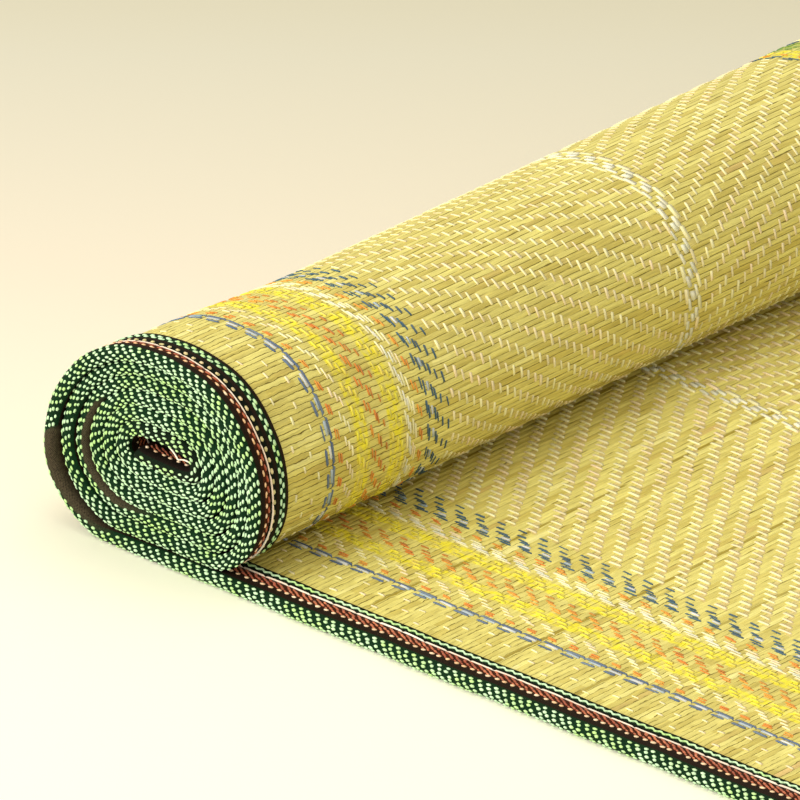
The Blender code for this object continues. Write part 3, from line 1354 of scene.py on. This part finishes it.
@dataclass
class TapeWeave:
    """How the tape is folded over the mat's edge, and the rows of its pattern."""

    reach: float = 16.0 * MM
    fold_radius: float = 2.3 * MM
    rolled_radius: float = 2.7 * MM
    dot_pitch: float = 3.45 * MM
    fold_rows: int = 6
    fold_row_pitch: float = 1.18 * MM
    fold_stagger: float = -0.3
    flange_top: float = 2.15 * MM
    flange_under: float = 1.06 * MM
    cloth: float = 1.0 * MM
    bead_reach: float = 2.2 * MM
    brim_width: float = 0.7 * MM
    brim_drop: float = 0.6 * MM
    zigzag_place: float = 13.2 * MM
    seam_front: float = 11.0 * MM
    seam_back: float = 7.7 * MM
    seam_pull: float = 0.28 * MM
    seam_pull_reach: float = 0.7 * MM
    stitch_length: float = 9.8 * MM

    @property
    def straight(self) -> float:
        """The flat part of one flange, from its free edge to the fold."""
        return self.reach - self.fold_radius

    @property
    def arc(self) -> float:
        """The way round the fold."""
        return math.pi * self.fold_radius

    @property
    def whole(self) -> float:
        """The tape's outer width from one free edge round to the other."""
        return 2 * self.straight + self.arc

    def round_from(self, face: Face, inward: float) -> float:
        """Turn a distance in from the fold, on one of the faces, into the way round the tape."""
        way = self.reach - inward
        return way if face is Face.FRONT else self.whole - way

    def charted(
        self, face: Face, courses: tuple[tuple[float, Yarn, float, float, float, float], ...],
    ) -> list[TapeRow]:
        """Turn a table of rows into rows.

        Args:
            face: The face that they lie on.
            courses: For each row the distance in from the fold in millimetres, the yarn, the
                stagger, the floats' length and width in millimetres, and their slant.

        Returns:
            The rows.
        """
        rows = []
        for inward, yarn, stagger, length, width, slant in courses:
            place = self.round_from(face, inward * MM)
            rows.append(TapeRow(place, yarn, stagger, length * MM, width * MM, slant))
        return rows

    def front_rows(self) -> list[TapeRow]:
        """Chart the front flange.

        Returns:
            The rows.
        """
        return self.charted(Face.FRONT, (
            (9.9, Yarn.RUST, 0.1, 2.1, 0.8, -0.4),
            (9.0, Yarn.RUST, 0.6, 2.1, 0.8, -0.4),
            (8.1, Yarn.RUST, 0.1, 2.0, 0.8, -0.35),
            (7.3, Yarn.RUST, 0.6, 1.5, 0.6, -0.3),
            (6.4, Yarn.TAN, 0.2, 1.7, 1.15, 0.1),
        ))

    def back_rows(self) -> list[TapeRow]:
        """Chart the back flange.

        Returns:
            The rows.
        """
        return self.charted(Face.BACK, (
            (13.3, Yarn.MINT, 0.0, 1.9, 1.0, 0.0), (12.1, Yarn.MINT, 0.5, 1.9, 1.0, 0.0),
            (8.9, Yarn.SAND, 0.2, 1.5, 1.1, 0.0),
            (6.3, Yarn.RUST, 0.7, 2.2, 0.9, 0.3), (5.0, Yarn.TAN, 0.15, 1.6, 0.9, 0.0),
        ))

    def folded_rows(self) -> list[TapeRow]:
        """Chart the fold.

        Returns:
            The rows.
        """
        first = self.whole / 2 - self.fold_row_pitch * (self.fold_rows - 1) / 2
        return [
            TapeRow(first + row * self.fold_row_pitch, Yarn.MINT, row * self.fold_stagger % 1.0)
            for row in range(self.fold_rows)
        ]

    def zigzag(self) -> TapeThread:
        """The wavy thread beside the front flange's free edge."""
        place = self.round_from(Face.FRONT, self.zigzag_place)
        return TapeThread(Yarn.MINT, place, self.dot_pitch, radius=0.36 * MM, wave=0.42 * MM)

    def front_seam(self) -> TapeThread:
        """The sewing on the front, in plain stitches."""
        place = self.round_from(Face.FRONT, self.seam_front)
        return TapeThread(
            Yarn.WHITE, place, self.stitch_length,
            radius=0.32 * MM, sink=0.22 * MM, drift=0.2 * MM,
        )

    def back_seam(self) -> TapeThread:
        """The sewing on the back, one thread that wanders."""
        place = self.round_from(Face.BACK, self.seam_back)
        return TapeThread(
            Yarn.WHITE, place, self.stitch_length,
            radius=0.29 * MM, sink=0.1 * MM, drift=0.45 * MM,
        )


@dataclass
class BoundEdge:
    """The tape over one long edge, with its yarn floats and the line of stitches that holds it.

    The flange columns are in millimetres from a free edge, the slips in turns and metres, and the
    loose end's path in millimetres along x and up. Strays are how far one float may be off: its
    place along and across in metres, then its length and its width as shares.
    """

    line: MatLine
    weave: TapeWeave
    edge: Edge
    station_gap: float = 2.0 * MM
    flange_columns: tuple[float, ...] = (0.0, 0.35, 0.9, 2.4, 4.0, 5.2, 6.4, 7.4, 8.4, 9.4, 11.5)
    fold_columns: int = 9
    flat_facing: float = 0.999
    rolls_from: float = 10 * MM
    rolls_over: float = 60 * MM
    ripple: float = 0.2 * MM
    ripple_waves: tuple[tuple[float, float, float], ...] = ((9.1 * MM, 1.0, 0.0), (3.7 * MM, 0.6, 1.0))
    least_ripple: float = -0.1 * MM
    worn_slip: float = 1.4
    worn_turns: float = 3.0
    # Where the painted shade at the roll's core starts, and over what way it comes in.
    core_shade_turn: float = 5.1
    core_shade_over: float = 30 * MM
    threads_start: float = 3 * MM
    core_reach: float = 75 * MM
    flat_overlap: float = 20 * MM
    outside_overlap: float = 60 * MM
    outside_turns: float = 1.03
    slips: tuple[tuple[float, float], ...] = (
        (0.0, 0.0), (0.07, 2.2 * MM), (0.17, 4.2 * MM), (0.266, 4.7 * MM), (0.272, 1.2 * MM),
        (0.46, 0.0), (1.10, 0.0), (1.17, 1.3 * MM), (1.30, 1.3 * MM), (1.38, 0.0),
        (1.95, 0.0), (2.05, 2.5 * MM), (2.34, 2.5 * MM), (2.42, 0.0),
        (5.3, 0.0), (5.7, 2.6 * MM), (6.05, 2.6 * MM),
    )
    dot_strays: tuple[float, float, float, float] = (0.24 * MM, 0.11 * MM, 0.09, 0.08)
    dot_height: float = 0.4 * MM
    rolled_dot_size: float = 1.1
    flat_dot_size: float = 1.2
    last_dot_from_end: float = 0.4
    stitch_rings: int = 9
    stitch_bow: float = 0.35
    stitch_rise: float = 0.6
    stitch_narrow_share: float = 0.05
    stitch_end_width: float = 0.5
    stitch_dip_share: float = 0.035
    drift_waves: tuple[tuple[float, float, float], ...] = ((31 * MM, 1.0, 0.0), (13 * MM, 0.6, 0.0))
    loose_turn: float = 5.512
    loose_path: tuple[tuple[float, float], ...] = (
        (0.0, 0.0), (1.3, -0.75), (2.6, -1.75), (3.6, -2.8),
        (3.8, -3.3), (4.3, -3.3), (6.4, -2.6), (10.3, -2.6),
    )
    loose_rings: int = 27
    loose_root_depth: float = 0.2 * MM
    loose_section: tuple[float, float, float] = (0.5, 1.0, 0.8)
    loose_tone: float = 0.8
    seed: int = 5

    def slip(self, s: np.ndarray) -> np.ndarray:
        """Find how far the tape's pattern has slipped round the edge, towards the back.

        Args:
            s: The way along the line.

        Returns:
            The distances.
        """
        places = [self.line.at_turn(turn) for turn, _ in self.slips]
        return np.interp(s, places, [depth for _, depth in self.slips])

    def section(
        self, w: np.ndarray, s: np.ndarray,
    ) -> tuple[np.ndarray, np.ndarray, np.ndarray, np.ndarray]:
        """Find the tape's outer surface in section.

        Args:
            w: The way round the tape from the front flange's free edge.
            s: The way along the line.

        Returns:
            The way in from the fold, the height, and the outward direction in and up.
        """
        t = self.weave
        w, s = np.broadcast_arrays(w, s)
        rolled = smooth_step((s - self.line.foot + self.rolls_from) / self.rolls_over)
        radius = t.fold_radius + rolled * (t.rolled_radius - t.fold_radius)
        straight = (t.whole - math.pi * radius) / 2
        side = np.where(w < t.whole / 2, 1.0, -1.0)
        flange = np.minimum(w, t.whole - w)
        away = straight - flange
        turned = np.clip((w - straight) / radius, 0.0, math.pi)
        bead = np.exp(-np.square(np.maximum(away, 0.0) / t.bead_reach))
        bulge = t.flange_top + (radius - t.flange_top) * bead
        brim = smooth_step(flange / t.brim_width)
        seam = t.reach - np.where(side > 0, t.seam_front, t.seam_back)
        pull = t.seam_pull * np.exp(-np.square((flange - seam) / t.seam_pull_reach))
        flat_height = side * (bulge - (1.0 - brim) * t.brim_drop - pull)
        on_flange = away > 0
        inward = np.where(on_flange, radius + away, radius - radius * np.sin(turned))
        height = np.where(on_flange, flat_height, radius * np.cos(turned))
        out_in = np.where(on_flange, 0.0, -np.sin(turned))
        out_up = np.where(on_flange, side, np.cos(turned))
        return inward, height, out_in, out_up

    def lay(self, w: np.ndarray, s: np.ndarray, lift: np.ndarray) -> np.ndarray:
        """Find places over or under the tape's outer surface.

        Args:
            w: The way round the tape.
            s: The way along the line.
            lift: The height over the surface.

        Returns:
            The places.
        """
        w, s, lift = np.broadcast_arrays(w, s, lift)
        inward, height, out_in, out_up = self.section(w, s)
        stray = self.ripple * waves(s, self.ripple_waves)
        inward = inward + out_in * lift + np.maximum(stray, self.least_ripple)
        v = inward if self.edge is Edge.NEAR else self.line.width - inward
        return self.line.place(s, v, height + out_up * lift)

    def build_tape(self) -> bpy.types.Object:
        """Make the tape's cloth.

        Returns:
            The tape.
        """
        t = self.weave
        stations = np.linspace(0.0, self.line.length, int(self.line.length / self.station_gap) + 1)
        flange = np.array(self.flange_columns) * MM
        fold = t.straight + t.arc * np.linspace(0.0, 1.0, self.fold_columns)
        ways = np.concatenate([flange, fold, t.whole - flange[::-1]])

        def lay(row: np.ndarray, column: np.ndarray, sign: np.ndarray) -> np.ndarray:
            """Lay the outer face on the section, and the inner face a cloth's thickness under it.

            Args:
                row: The points' stations, by number.
                column: The points' ways round the tape, by number.
                sign: The points' faces: 1 for the outer one, -1 for the inner one.

            Returns:
                The places.
            """
            w, s = ways[column], stations[row]
            _, height, _, out_up = self.section(w, s)
            flat = np.abs(out_up) > self.flat_facing
            under = np.where(flat, np.abs(height) - t.flange_under, t.cloth)
            return self.lay(w, s, np.where(sign > 0, 0.0, -under))

        def chart(row: np.ndarray, column: np.ndarray, _sign: np.ndarray) -> np.ndarray:
            """Count dots along and millimetres across."""
            s = stations[row]
            return np.stack([s / t.dot_pitch, (ways[column] - self.slip(s)) / MM], axis=1)

        def worn(row: np.ndarray, _column: np.ndarray, _sign: np.ndarray) -> np.ndarray:
            """Mark where the tape has slipped on the outer turns."""
            slipped = np.clip(self.slip(stations[row]) / MM - self.worn_slip, 0.0, 1.0)
            return slipped * (stations[row] < self.line.at_turn(self.worn_turns))

        def deep(row: np.ndarray, _column: np.ndarray, _sign: np.ndarray) -> np.ndarray:
            """Mark the roll's core, where the tape's colour gets painted shade."""
            return smooth_step((stations[row] - self.line.at_turn(self.core_shade_turn)) / self.core_shade_over)

        mesh = laid_shell(len(stations), len(ways), lay, chart, {"worn": worn, "deep": deep})
        piece = finished(f"edge_tape_{self.edge.name.lower()}", mesh)
        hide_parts(self.edge.value)
        return piece

    def dots(
        self, name: str, rows: list[TapeRow], spans: list[tuple[float, float]],
    ) -> list[bpy.types.Object]:
        """Lay yarn floats in rows, a piece for each yarn.

        Args:
            name: What the pieces' names start with.
            rows: The rows.
            spans: The stretches of the line that get them.

        Returns:
            The pieces.
        """
        t = self.weave
        draw = np.random.default_rng(self.seed)
        pieces = []
        pitch = t.dot_pitch
        end = self.line.length - self.last_dot_from_end * pitch
        for yarn in dict.fromkeys(row.yarn for row in rows):
            places = np.array([
                (s, row.place, row.length, row.width, row.slant)
                for row in rows if row.yarn is yarn
                for first, last in spans
                for s in (np.arange(first // pitch, last // pitch) + 0.5 + row.stagger) * pitch
                if s < end
            ])
            slipped = places[:, 1] + self.slip(places[:, 0])
            places = places[slipped < t.whole - places[:, 3]]
            count = len(places)
            mesh, local = repeated(grain_of_rice(), count)
            jitter = draw.normal(0.0, 1.0, (count, 1, 4))
            s, w, lengths, widths, slants = (places[:, None, part] for part in range(5))
            along, across, longer, wider = (
                stray * jitter[..., part] for part, stray in enumerate(self.dot_strays)
            )
            size = np.where(s > self.line.foot, self.rolled_dot_size, self.flat_dot_size)
            ahead = local[..., 0] * (lengths / 2 * (size + longer))
            s = s + along + ahead
            w = w + across + local[..., 1] * (widths / 2 * (size + wider))
            w = w + slants * ahead + self.slip(s)
            points = self.lay(w, s, local[..., 2] * self.dot_height)
            full_name = f"{name}_{yarn.name.lower()}_{self.edge.name.lower()}"
            pieces.append(yarn_piece(full_name, mesh, points, draw.random(count), yarn))
        return pieces

    def thread(
        self, name: str, thread: TapeThread, spans: list[tuple[float, float]],
    ) -> bpy.types.Object:
        """Lay a thread along the tape.

        Args:
            name: The piece's name.
            thread: The thread.
            spans: The stretches of the line that get it.

        Returns:
            The piece.
        """
        draw = np.random.default_rng(self.seed + 1)
        length = thread.length
        places = [s for first, last in spans for s in np.arange(first, last - length, length)]
        places = np.array(places)[:, None]
        mesh, local = repeated(stitch(self.stitch_rings), len(places))
        share = (local[..., 0] + 1) / 2
        from_end = np.minimum(share, 1 - share)
        s = places + share * length
        bow = draw.normal(0.0, self.stitch_bow * thread.sink, (len(places), 1))
        bow = bow * np.sin(math.pi * share)
        stray = thread.drift * waves(s, self.drift_waves)
        radius = thread.radius
        if thread.sink:
            radius = radius * np.clip(from_end / self.stitch_narrow_share, self.stitch_end_width, 1.0)
        wave = thread.wave * np.sin(math.tau * share)
        w = thread.place + bow + stray + local[..., 1] * radius + wave
        dip = thread.sink * np.exp(-from_end / self.stitch_dip_share)
        lift = self.stitch_rise * thread.radius - dip + local[..., 2] * radius
        tones = draw.random(len(places))
        full_name = f"{name}_{self.edge.name.lower()}"
        return yarn_piece(full_name, mesh, self.lay(w, s, lift), tones, thread.yarn)

    def loose_end(self) -> bpy.types.Object:
        """Hang a loose end of sewing thread across the roll's open core.

        Returns:
            The thread.
        """
        t = self.weave
        root_along = self.line.at_turn(self.loose_turn)
        root = self.lay(t.straight + t.arc / 4, root_along, -self.loose_root_depth)
        path = np.array([(x * MM, 0.0, z * MM) for x, z in self.loose_path])
        steps = np.linalg.norm(np.diff(path, axis=0), axis=1)
        ways = np.concatenate([[0.0], np.cumsum(steps)])
        mesh, local = repeated(stitch(self.loose_rings), 1)
        along = (local[0, :, 0] + 1) / 2 * ways[-1]
        points = np.stack([np.interp(along, ways, path[:, axis]) for axis in range(3)], axis=1)
        section = np.array(self.loose_section) * t.front_seam().radius
        points += root + local[0][:, (2, 1, 2)] * section
        tones = np.array([self.loose_tone])
        name = f"loose_end_{self.edge.name.lower()}"
        return yarn_piece(name, mesh, points, tones, Yarn.WHITE)

    def build(self) -> tuple[bpy.types.Object, list[bpy.types.Object]]:
        """Make the tape and everything on it.

        Returns:
            The tape, and the pieces on it.
        """
        t = self.weave
        start, foot = self.threads_start, self.line.foot
        core = (self.line.length - self.core_reach, self.line.length + t.dot_pitch)
        flat = (start, foot + self.flat_overlap)
        outer_end = self.line.at_turn(self.outside_turns)
        outside = (foot - self.outside_overlap, outer_end)
        tape = self.build_tape()
        extras = self.dots("fold_dots", t.folded_rows(), [(start, self.line.length)])
        extras += self.dots("front_dots", t.front_rows(), [flat, core])
        extras += self.dots("back_dots", t.back_rows(), [outside])
        extras.append(self.thread("zigzag", t.zigzag(), [flat, core]))
        extras.append(self.thread("front_seam", t.front_seam(), [flat, core]))
        extras.append(self.thread("back_seam", t.back_seam(), [(start, outer_end)]))
        if self.edge is Edge.NEAR:
            extras.append(self.loose_end())
        return tape, extras


@dataclass(frozen=True)
class TapeFinish:
    """The tape's dark ground: zones of green, brown and black with a fine plain weave, and painted shade
    towards the roll's core.
    """

    green: Colour = pigment(8, 42, 20)
    black: Colour = pigment(6, 14, 7)
    rust: Colour = pigment(66, 28, 12)
    plum: Colour = pigment(32, 20, 12)
    drab: Colour = pigment(68, 60, 46)
    # Painted shade that the ground darkens to at the roll's core.
    deep: Colour = pigment(10, 6, 6)
    roughness: float = 0.8
    shine: float = 0.12
    threads_a_dot: float = 4.0
    pick_pitch: float = 0.65 * MM
    fuzz: float = 1800.0
    check_share: float = 0.3
    spread: float = 2.2
    worn_starts: float = 2.6 * MM
    worn_full: float = 3.4 * MM
    worn_share: float = 0.85
    core_shade_share: float = 0.6
    relief: float = 0.5
    relief_depth: float = 0.2 * MM

    def zones(self, t: TapeWeave) -> tuple[tuple[float, Colour], ...]:
        """Chart the ground's colours, each from its place in millimetres in from the fold.

        Args:
            t: The tape's weave.

        Returns:
            The colours, each with where it starts as a share of the tape's outer width.
        """
        front = (
            (16.0, self.black), (14.6, self.green), (12.6, self.black), (10.6, self.rust),
            (7.0, self.plum), (3.3, self.green),
        )
        back = (
            (2.2, self.plum), (4.2, self.rust), (7.2, self.black), (9.9, self.plum),
            (11.4, self.green), (14.2, self.plum),
        )
        return tuple(
            (t.round_from(face, inward * MM) / t.whole, colour)
            for face, zones in ((Face.FRONT, front), (Face.BACK, back))
            for inward, colour in zones
        )

    def build(self, t: TapeWeave) -> bpy.types.Material:
        """Make the material.

        Args:
            t: The tape's weave.

        Returns:
            The material.
        """
        material, g, shader = new_material("Tape cloth")
        along, across = g.ways()
        zone = g.stops(g.math("DIVIDE", across, t.whole / MM), self.zones(t), "CONSTANT")
        ribs = g.math("SINE", g.times(along, math.tau * self.threads_a_dot))
        picks = g.math("SINE", g.times(across, math.tau / (self.pick_pitch / MM)))
        fuzz = g.noise(g.place(), self.fuzz, 3.0)
        tone = g.plus(g.times(g.times(ribs, picks), self.check_share), fuzz)
        middle = t.whole / 2
        front = g.ease(across, (middle - self.worn_starts) / MM, (middle - self.worn_full) / MM)
        worn = g.times(g.times(g.read("worn"), front), self.worn_share)
        zone = g.mix(worn, zone, self.drab)
        # Painted shade: the ground darkens towards the roll's core.
        zone = g.mix(g.times(g.read("deep"), self.core_shade_share), zone, self.deep)
        colour = g.group("Tone shift", {"Colour": zone, "Tone": tone, "Spread": self.spread})
        for row in t.back_rows():
            span = row.length / t.dot_pitch
            inputs = {
                "Along": along,
                "Across": across,
                "Start": 0.5 + row.stagger - span / 2,
                "Span": span,
                "Repeat": 1.0,
                "Place": row.place / MM,
                "Width": row.width / MM / 2,
            }
            colour = g.mix(g.group("Yarn dash", inputs), colour, row.yarn.colour)
        g.feed(shader.inputs["Base Color"], colour)
        shader.inputs["Roughness"].default_value = self.roughness
        shader.inputs["Specular IOR Level"].default_value = self.shine
        g.relief(shader, tone, self.relief, self.relief_depth)
        return material


@dataclass
class WovenPanel:
    """The straw panel and the warp floats laid over it.

    The uneven heights are in millimetres. Strays are how far one float may be off: its length as
    a share, its lean and its place, and its width as a share.
    """

    line: MatLine
    course: StrawCourse
    chart: WarpChart
    inset: float = 2.8 * MM
    edge_columns: tuple[float, ...] = (
        10 * MM, 20 * MM, 30 * MM, 42 * MM, 55 * MM, 68 * MM, 80 * MM, 90 * MM,
    )
    middle_columns: int = 8
    crown: float = 1.0 * MM
    shoulder: float = 0.2
    groove: float = 0.2 * MM
    groove_shares: tuple[float, float] = (0.2, 1.3)
    uneven: tuple[float, float] = (-0.09, 0.06)
    inner_drop: float = 0.15 * MM
    dressed_turns: float = 1.03
    painted_from: float = 30 * MM
    float_rise: float = 0.5 * MM
    float_sink: float = 0.35 * MM
    float_arch: float = 0.4 * MM
    float_length: float = 0.98
    float_strays: tuple[float, float, float, float] = (0.05, 0.12 * MM, 0.17 * MM, 0.14)
    top_ends: float = 14 * MM
    outside_starts: float = 12 * MM
    outside_turns: float = 0.94
    seed: int = 23

    def build_panel(self) -> bpy.types.Object:
        """Make the straws: a closed sheet whose faces rise and fall, out to the roll's outer turn.

        Returns:
            The panel.
        """
        draw = np.random.default_rng(self.seed)
        dressed = self.course.rows_to(self.line.at_turn(self.dressed_turns))
        stalks = np.arange(dressed)[:, None] + np.array([0.0, self.shoulder, 1.0 - self.shoulder])
        stations = np.concatenate([stalks.ravel(), np.arange(dressed, self.course.count + 1)])
        low = np.isclose(stations % 1.0, 0.0)
        near = np.array([self.inset, *self.edge_columns])
        middle = np.linspace(near[-1], self.line.width - near[-1], self.middle_columns + 2)[1:-1]
        across = np.concatenate([near, middle, self.line.width - near[::-1]])
        straws = np.floor(stations).astype(int)
        uneven = draw.uniform(*self.uneven, self.course.count + 1)[straws] * MM
        grooves = self.groove * draw.uniform(*self.groove_shares, len(stations))
        depth = np.where(low, grooves, 0.0) - uneven * ~low
        depth[stations >= dressed] = self.inner_drop
        borders = self.course.borders[straws]

        def lay(row: np.ndarray, column: np.ndarray, sign: np.ndarray) -> np.ndarray:
            """Lay both faces at their stalks' heights."""
            s = self.course.along(stations[row], across[column])
            return self.line.place(s, across[column], sign * (self.crown - depth[row]))

        def chart(row: np.ndarray, column: np.ndarray, _sign: np.ndarray) -> np.ndarray:
            """Count straws along and millimetres across."""
            return np.stack([stations[row], across[column] / MM], axis=1)

        def plain(row: np.ndarray, _column: np.ndarray, sign: np.ndarray) -> np.ndarray:
            """Mark the flat part's underside, and the mat's front inside the roll."""
            s, foot = borders[row], self.line.foot
            return np.where(sign > 0, s > foot + self.painted_from, s < foot - self.painted_from)

        def back(_row: np.ndarray, _column: np.ndarray, sign: np.ndarray) -> np.ndarray:
            """Mark the mat's back."""
            return sign < 0

        mesh = laid_shell(len(stations), len(across), lay, chart, {"plain": plain, "back": back})
        piece = finished("straw_panel", mesh)
        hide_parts("mat_panel")
        return piece

    def float_rows(self, yarn: Yarn, face: Face, first: int, last: int) -> np.ndarray:
        """Count out the floats of one yarn.

        Args:
            yarn: The yarn.
            face: The side of the mat.
            first: The straw before which there are none.
            last: The straw after which there are none.

        Returns:
            For each float its start and span in straws, and its place, half width, lean and bow.
        """
        rows = []
        for warp in (warp for warp in self.chart.whole() if warp.yarn is yarn):
            start = warp.start_on(face) % warp.repeat
            span, half_width = warp.size_on(face)
            begin = math.ceil((first - start) / warp.repeat)
            end = math.floor((last - span - start) / warp.repeat)
            rows += [
                (start + number * warp.repeat, span, warp.place, half_width, warp.lean, warp.bow)
                for number in range(begin, end + 1)
            ]
        return np.array(rows)

    def floats(
        self, name: str, yarns: tuple[Yarn, ...], face: Face, span: tuple[float, float],
    ) -> list[bpy.types.Object]:
        """Lay warp floats over the straws, a piece for each yarn.

        Args:
            name: What the pieces' names start with.
            yarns: The yarns to lay.
            face: The side of the mat.
            span: The stretch of the line.

        Returns:
            The pieces.
        """
        draw = np.random.default_rng(self.seed + face.value)
        first, last = (self.course.rows_to(s) for s in span)
        pieces = []
        for yarn in yarns:
            rows = self.float_rows(yarn, face, first, last)
            count = len(rows)
            mesh, local = repeated(spindle(), count)
            jitter = draw.normal(0.0, 1.0, (count, 1, 4))
            starts, spans, places, half_widths, leans, bows = (
                rows[:, None, part] for part in range(6)
            )
            longer, leaning, aside, wider = (
                stray * jitter[..., part] for part, stray in enumerate(self.float_strays)
            )
            reach = spans * (self.float_length + longer)
            straw = starts + spans / 2 + local[..., 0] / 2 * reach
            arch = 1.0 - np.square(local[..., 0])
            v = places + aside + local[..., 0] * (leans + leaning) + bows * arch
            v = v + local[..., 1] * half_widths * (1.0 + wider)
            base = self.crown - self.float_sink + self.float_arch * arch
            height = base + local[..., 2] * self.float_rise
            points = self.line.place(self.course.along(straw, v), v, face.value * height)
            full_name = f"{name}_{yarn.name.lower()}"
            pieces.append(yarn_piece(full_name, mesh, points, draw.random(count), yarn))
        return pieces

    def build(self) -> tuple[bpy.types.Object, list[bpy.types.Object]]:
        """Make the panel and its warp floats.

        Returns:
            The panel, and the pieces on it.
        """
        line = self.line
        yarns = tuple(dict.fromkeys(warp.yarn for warp in self.chart.whole()))
        panel = self.build_panel()
        on_top = (0.0, line.foot - self.top_ends)
        on_roll = (line.foot + self.outside_starts, line.at_turn(self.outside_turns))
        top = self.floats("top_warp", yarns, Face.FRONT, on_top)
        outside = self.floats("roll_warp", yarns, Face.BACK, on_roll)
        return panel, top + outside


@dataclass
class Studio:
    """A pale floor whose colour darkens away from the camera as painted shade, soft light, and the
    camera.

    Each light has a name, a place, the length of its side and its power in watts.
    """

    azimuth: float = math.radians(42.36)
    elevation: float = math.radians(25.57)
    lens: float = 615.8
    distance: float = 4.48
    nearest: float = 0.1
    farthest: float = 40.0
    aim_from_roll: float = 25.43 * MM
    aim_from_edge: float = 142.78 * MM
    floor_half_size: float = 5.0
    floor_cells: int = 8
    floor_roughness: float = 0.9
    # Painted shade: the floor's colour darkens with the distance away from the camera.
    floor_shade_tones: tuple[tuple[float, Colour], ...] = (
        (0.0, pigment(250, 250, 236)),
        (0.19, pigment(241, 236, 224)),
        (0.41, pigment(231, 223, 210)),
        (0.71, pigment(214, 211, 198)),
        (1.0, pigment(198, 193, 168)),
    )
    tones_start: float = -0.15
    tones_reach: float = 0.6
    lights: tuple[tuple[str, tuple[float, float, float], float, float], ...] = (
        ("key", (-0.3, -0.05, 2.6), 1.8, 12.5),
        ("fill", (-0.9, -2.0, 1.2), 1.6, 41.0),
    )
    light_tint: Colour = pigment(255, 250, 236)
    sky_tint: Colour = pigment(255, 248, 226)
    sky_strength: float = 0.71

    def aim(self) -> Vector:
        """The floor point that the camera looks at."""
        return Vector((CAD_LOW.x + self.aim_from_roll, CAD_LOW.y + self.aim_from_edge, 0.0))

    def build_camera(self) -> None:
        """Set up the camera at the viewing angle, with its picture's middle on the aim."""
        back = Vector((
            math.sin(self.azimuth) * math.cos(self.elevation),
            -math.cos(self.azimuth) * math.cos(self.elevation),
            math.sin(self.elevation),
        ))
        data = bpy.data.cameras.new("camera")
        data.lens = self.lens
        data.clip_start = self.nearest
        data.clip_end = self.farthest
        camera = linked("camera", data)
        camera.location = self.aim() + back * self.distance
        camera.rotation_mode = "QUATERNION"
        camera.rotation_quaternion = (-back).to_track_quat("-Z", "Y")
        bpy.context.scene.camera = camera

    def build_floor(self) -> None:
        """Lay the floor, with painted shade that darkens it away from the camera."""
        bm = bmesh.new()
        cells = self.floor_cells
        bmesh.ops.create_grid(bm, x_segments=cells, y_segments=cells, size=self.floor_half_size)
        floor = linked("floor", mesh_from(bm, "floor"))
        material, g, shader = new_material("Pale floor")
        # Painted shade: the floor's colour follows its depth away from the camera.
        away = Vector((-math.sin(self.azimuth), math.cos(self.azimuth), 0.0))
        depth = g.add("ShaderNodeVectorMath", {0: g.place(), 1: away}, operation="DOT_PRODUCT")
        start = self.aim().dot(away) + self.tones_start
        share = g.math("DIVIDE", g.minus(depth.outputs["Value"], start), self.tones_reach)
        g.feed(shader.inputs["Base Color"], g.stops(share, self.floor_shade_tones))
        shader.inputs["Roughness"].default_value = self.floor_roughness
        floor.data.materials.append(material)

    def build_light(
        self, name: str, place: tuple[float, float, float], size: float, power: float,
    ) -> None:
        """Hang a soft square light that faces the mat.

        Args:
            name: The light's name.
            place: Where it hangs.
            size: The length of its side.
            power: Its power in watts.
        """
        data = bpy.data.lights.new(name, "AREA")
        data.size = size
        data.energy = power
        data.color = self.light_tint[:3]
        light = linked(name, data)
        light.location = place
        light.rotation_mode = "QUATERNION"
        light.rotation_quaternion = (self.aim() - light.location).to_track_quat("-Z", "Y")

    def build(self) -> None:
        """Set up the whole studio."""
        self.build_camera()
        self.build_floor()
        for light in self.lights:
            self.build_light(*light)
        world = bpy.data.worlds.new("studio")
        world.use_nodes = True
        sky = world.node_tree.nodes["Background"]
        sky.inputs["Color"].default_value = self.sky_tint
        sky.inputs["Strength"].default_value = self.sky_strength
        bpy.context.scene.world = world
        bpy.context.scene.view_settings.view_transform = "Standard"


def dress(pieces: list[bpy.types.Object]) -> None:
    """Give each thread piece its yarn.

    Args:
        pieces: The pieces, each with the name of its yarn.
    """
    finishes: dict[str, bpy.types.Material] = {}
    for piece in pieces:
        name = piece["yarn"]
        if name not in finishes:
            finishes[name] = YarnFinish(Yarn[name]).build()
        piece.data.materials.append(finishes[name])


def main() -> None:
    """Build the mat, dress it, and set up the studio."""
    logging.basicConfig(level=logging.INFO, format="%(name)s: %(message)s")
    build_shared_groups()
    Studio().build()
    line = MatLine()
    chart = WarpChart(line.width)
    panel, warps = WovenPanel(line, StrawCourse(line), chart).build()
    panel.data.materials.append(StrawFinish().build(chart))
    weave = TapeWeave()
    cloth = TapeFinish().build(weave)
    extras = []
    for edge in Edge:
        tape, on_tape = BoundEdge(line, weave, edge).build()
        tape.data.materials.append(cloth)
        weave.whole
        extras += on_tape
    dress(warps + extras)


if __name__ == "__main__":
    main()
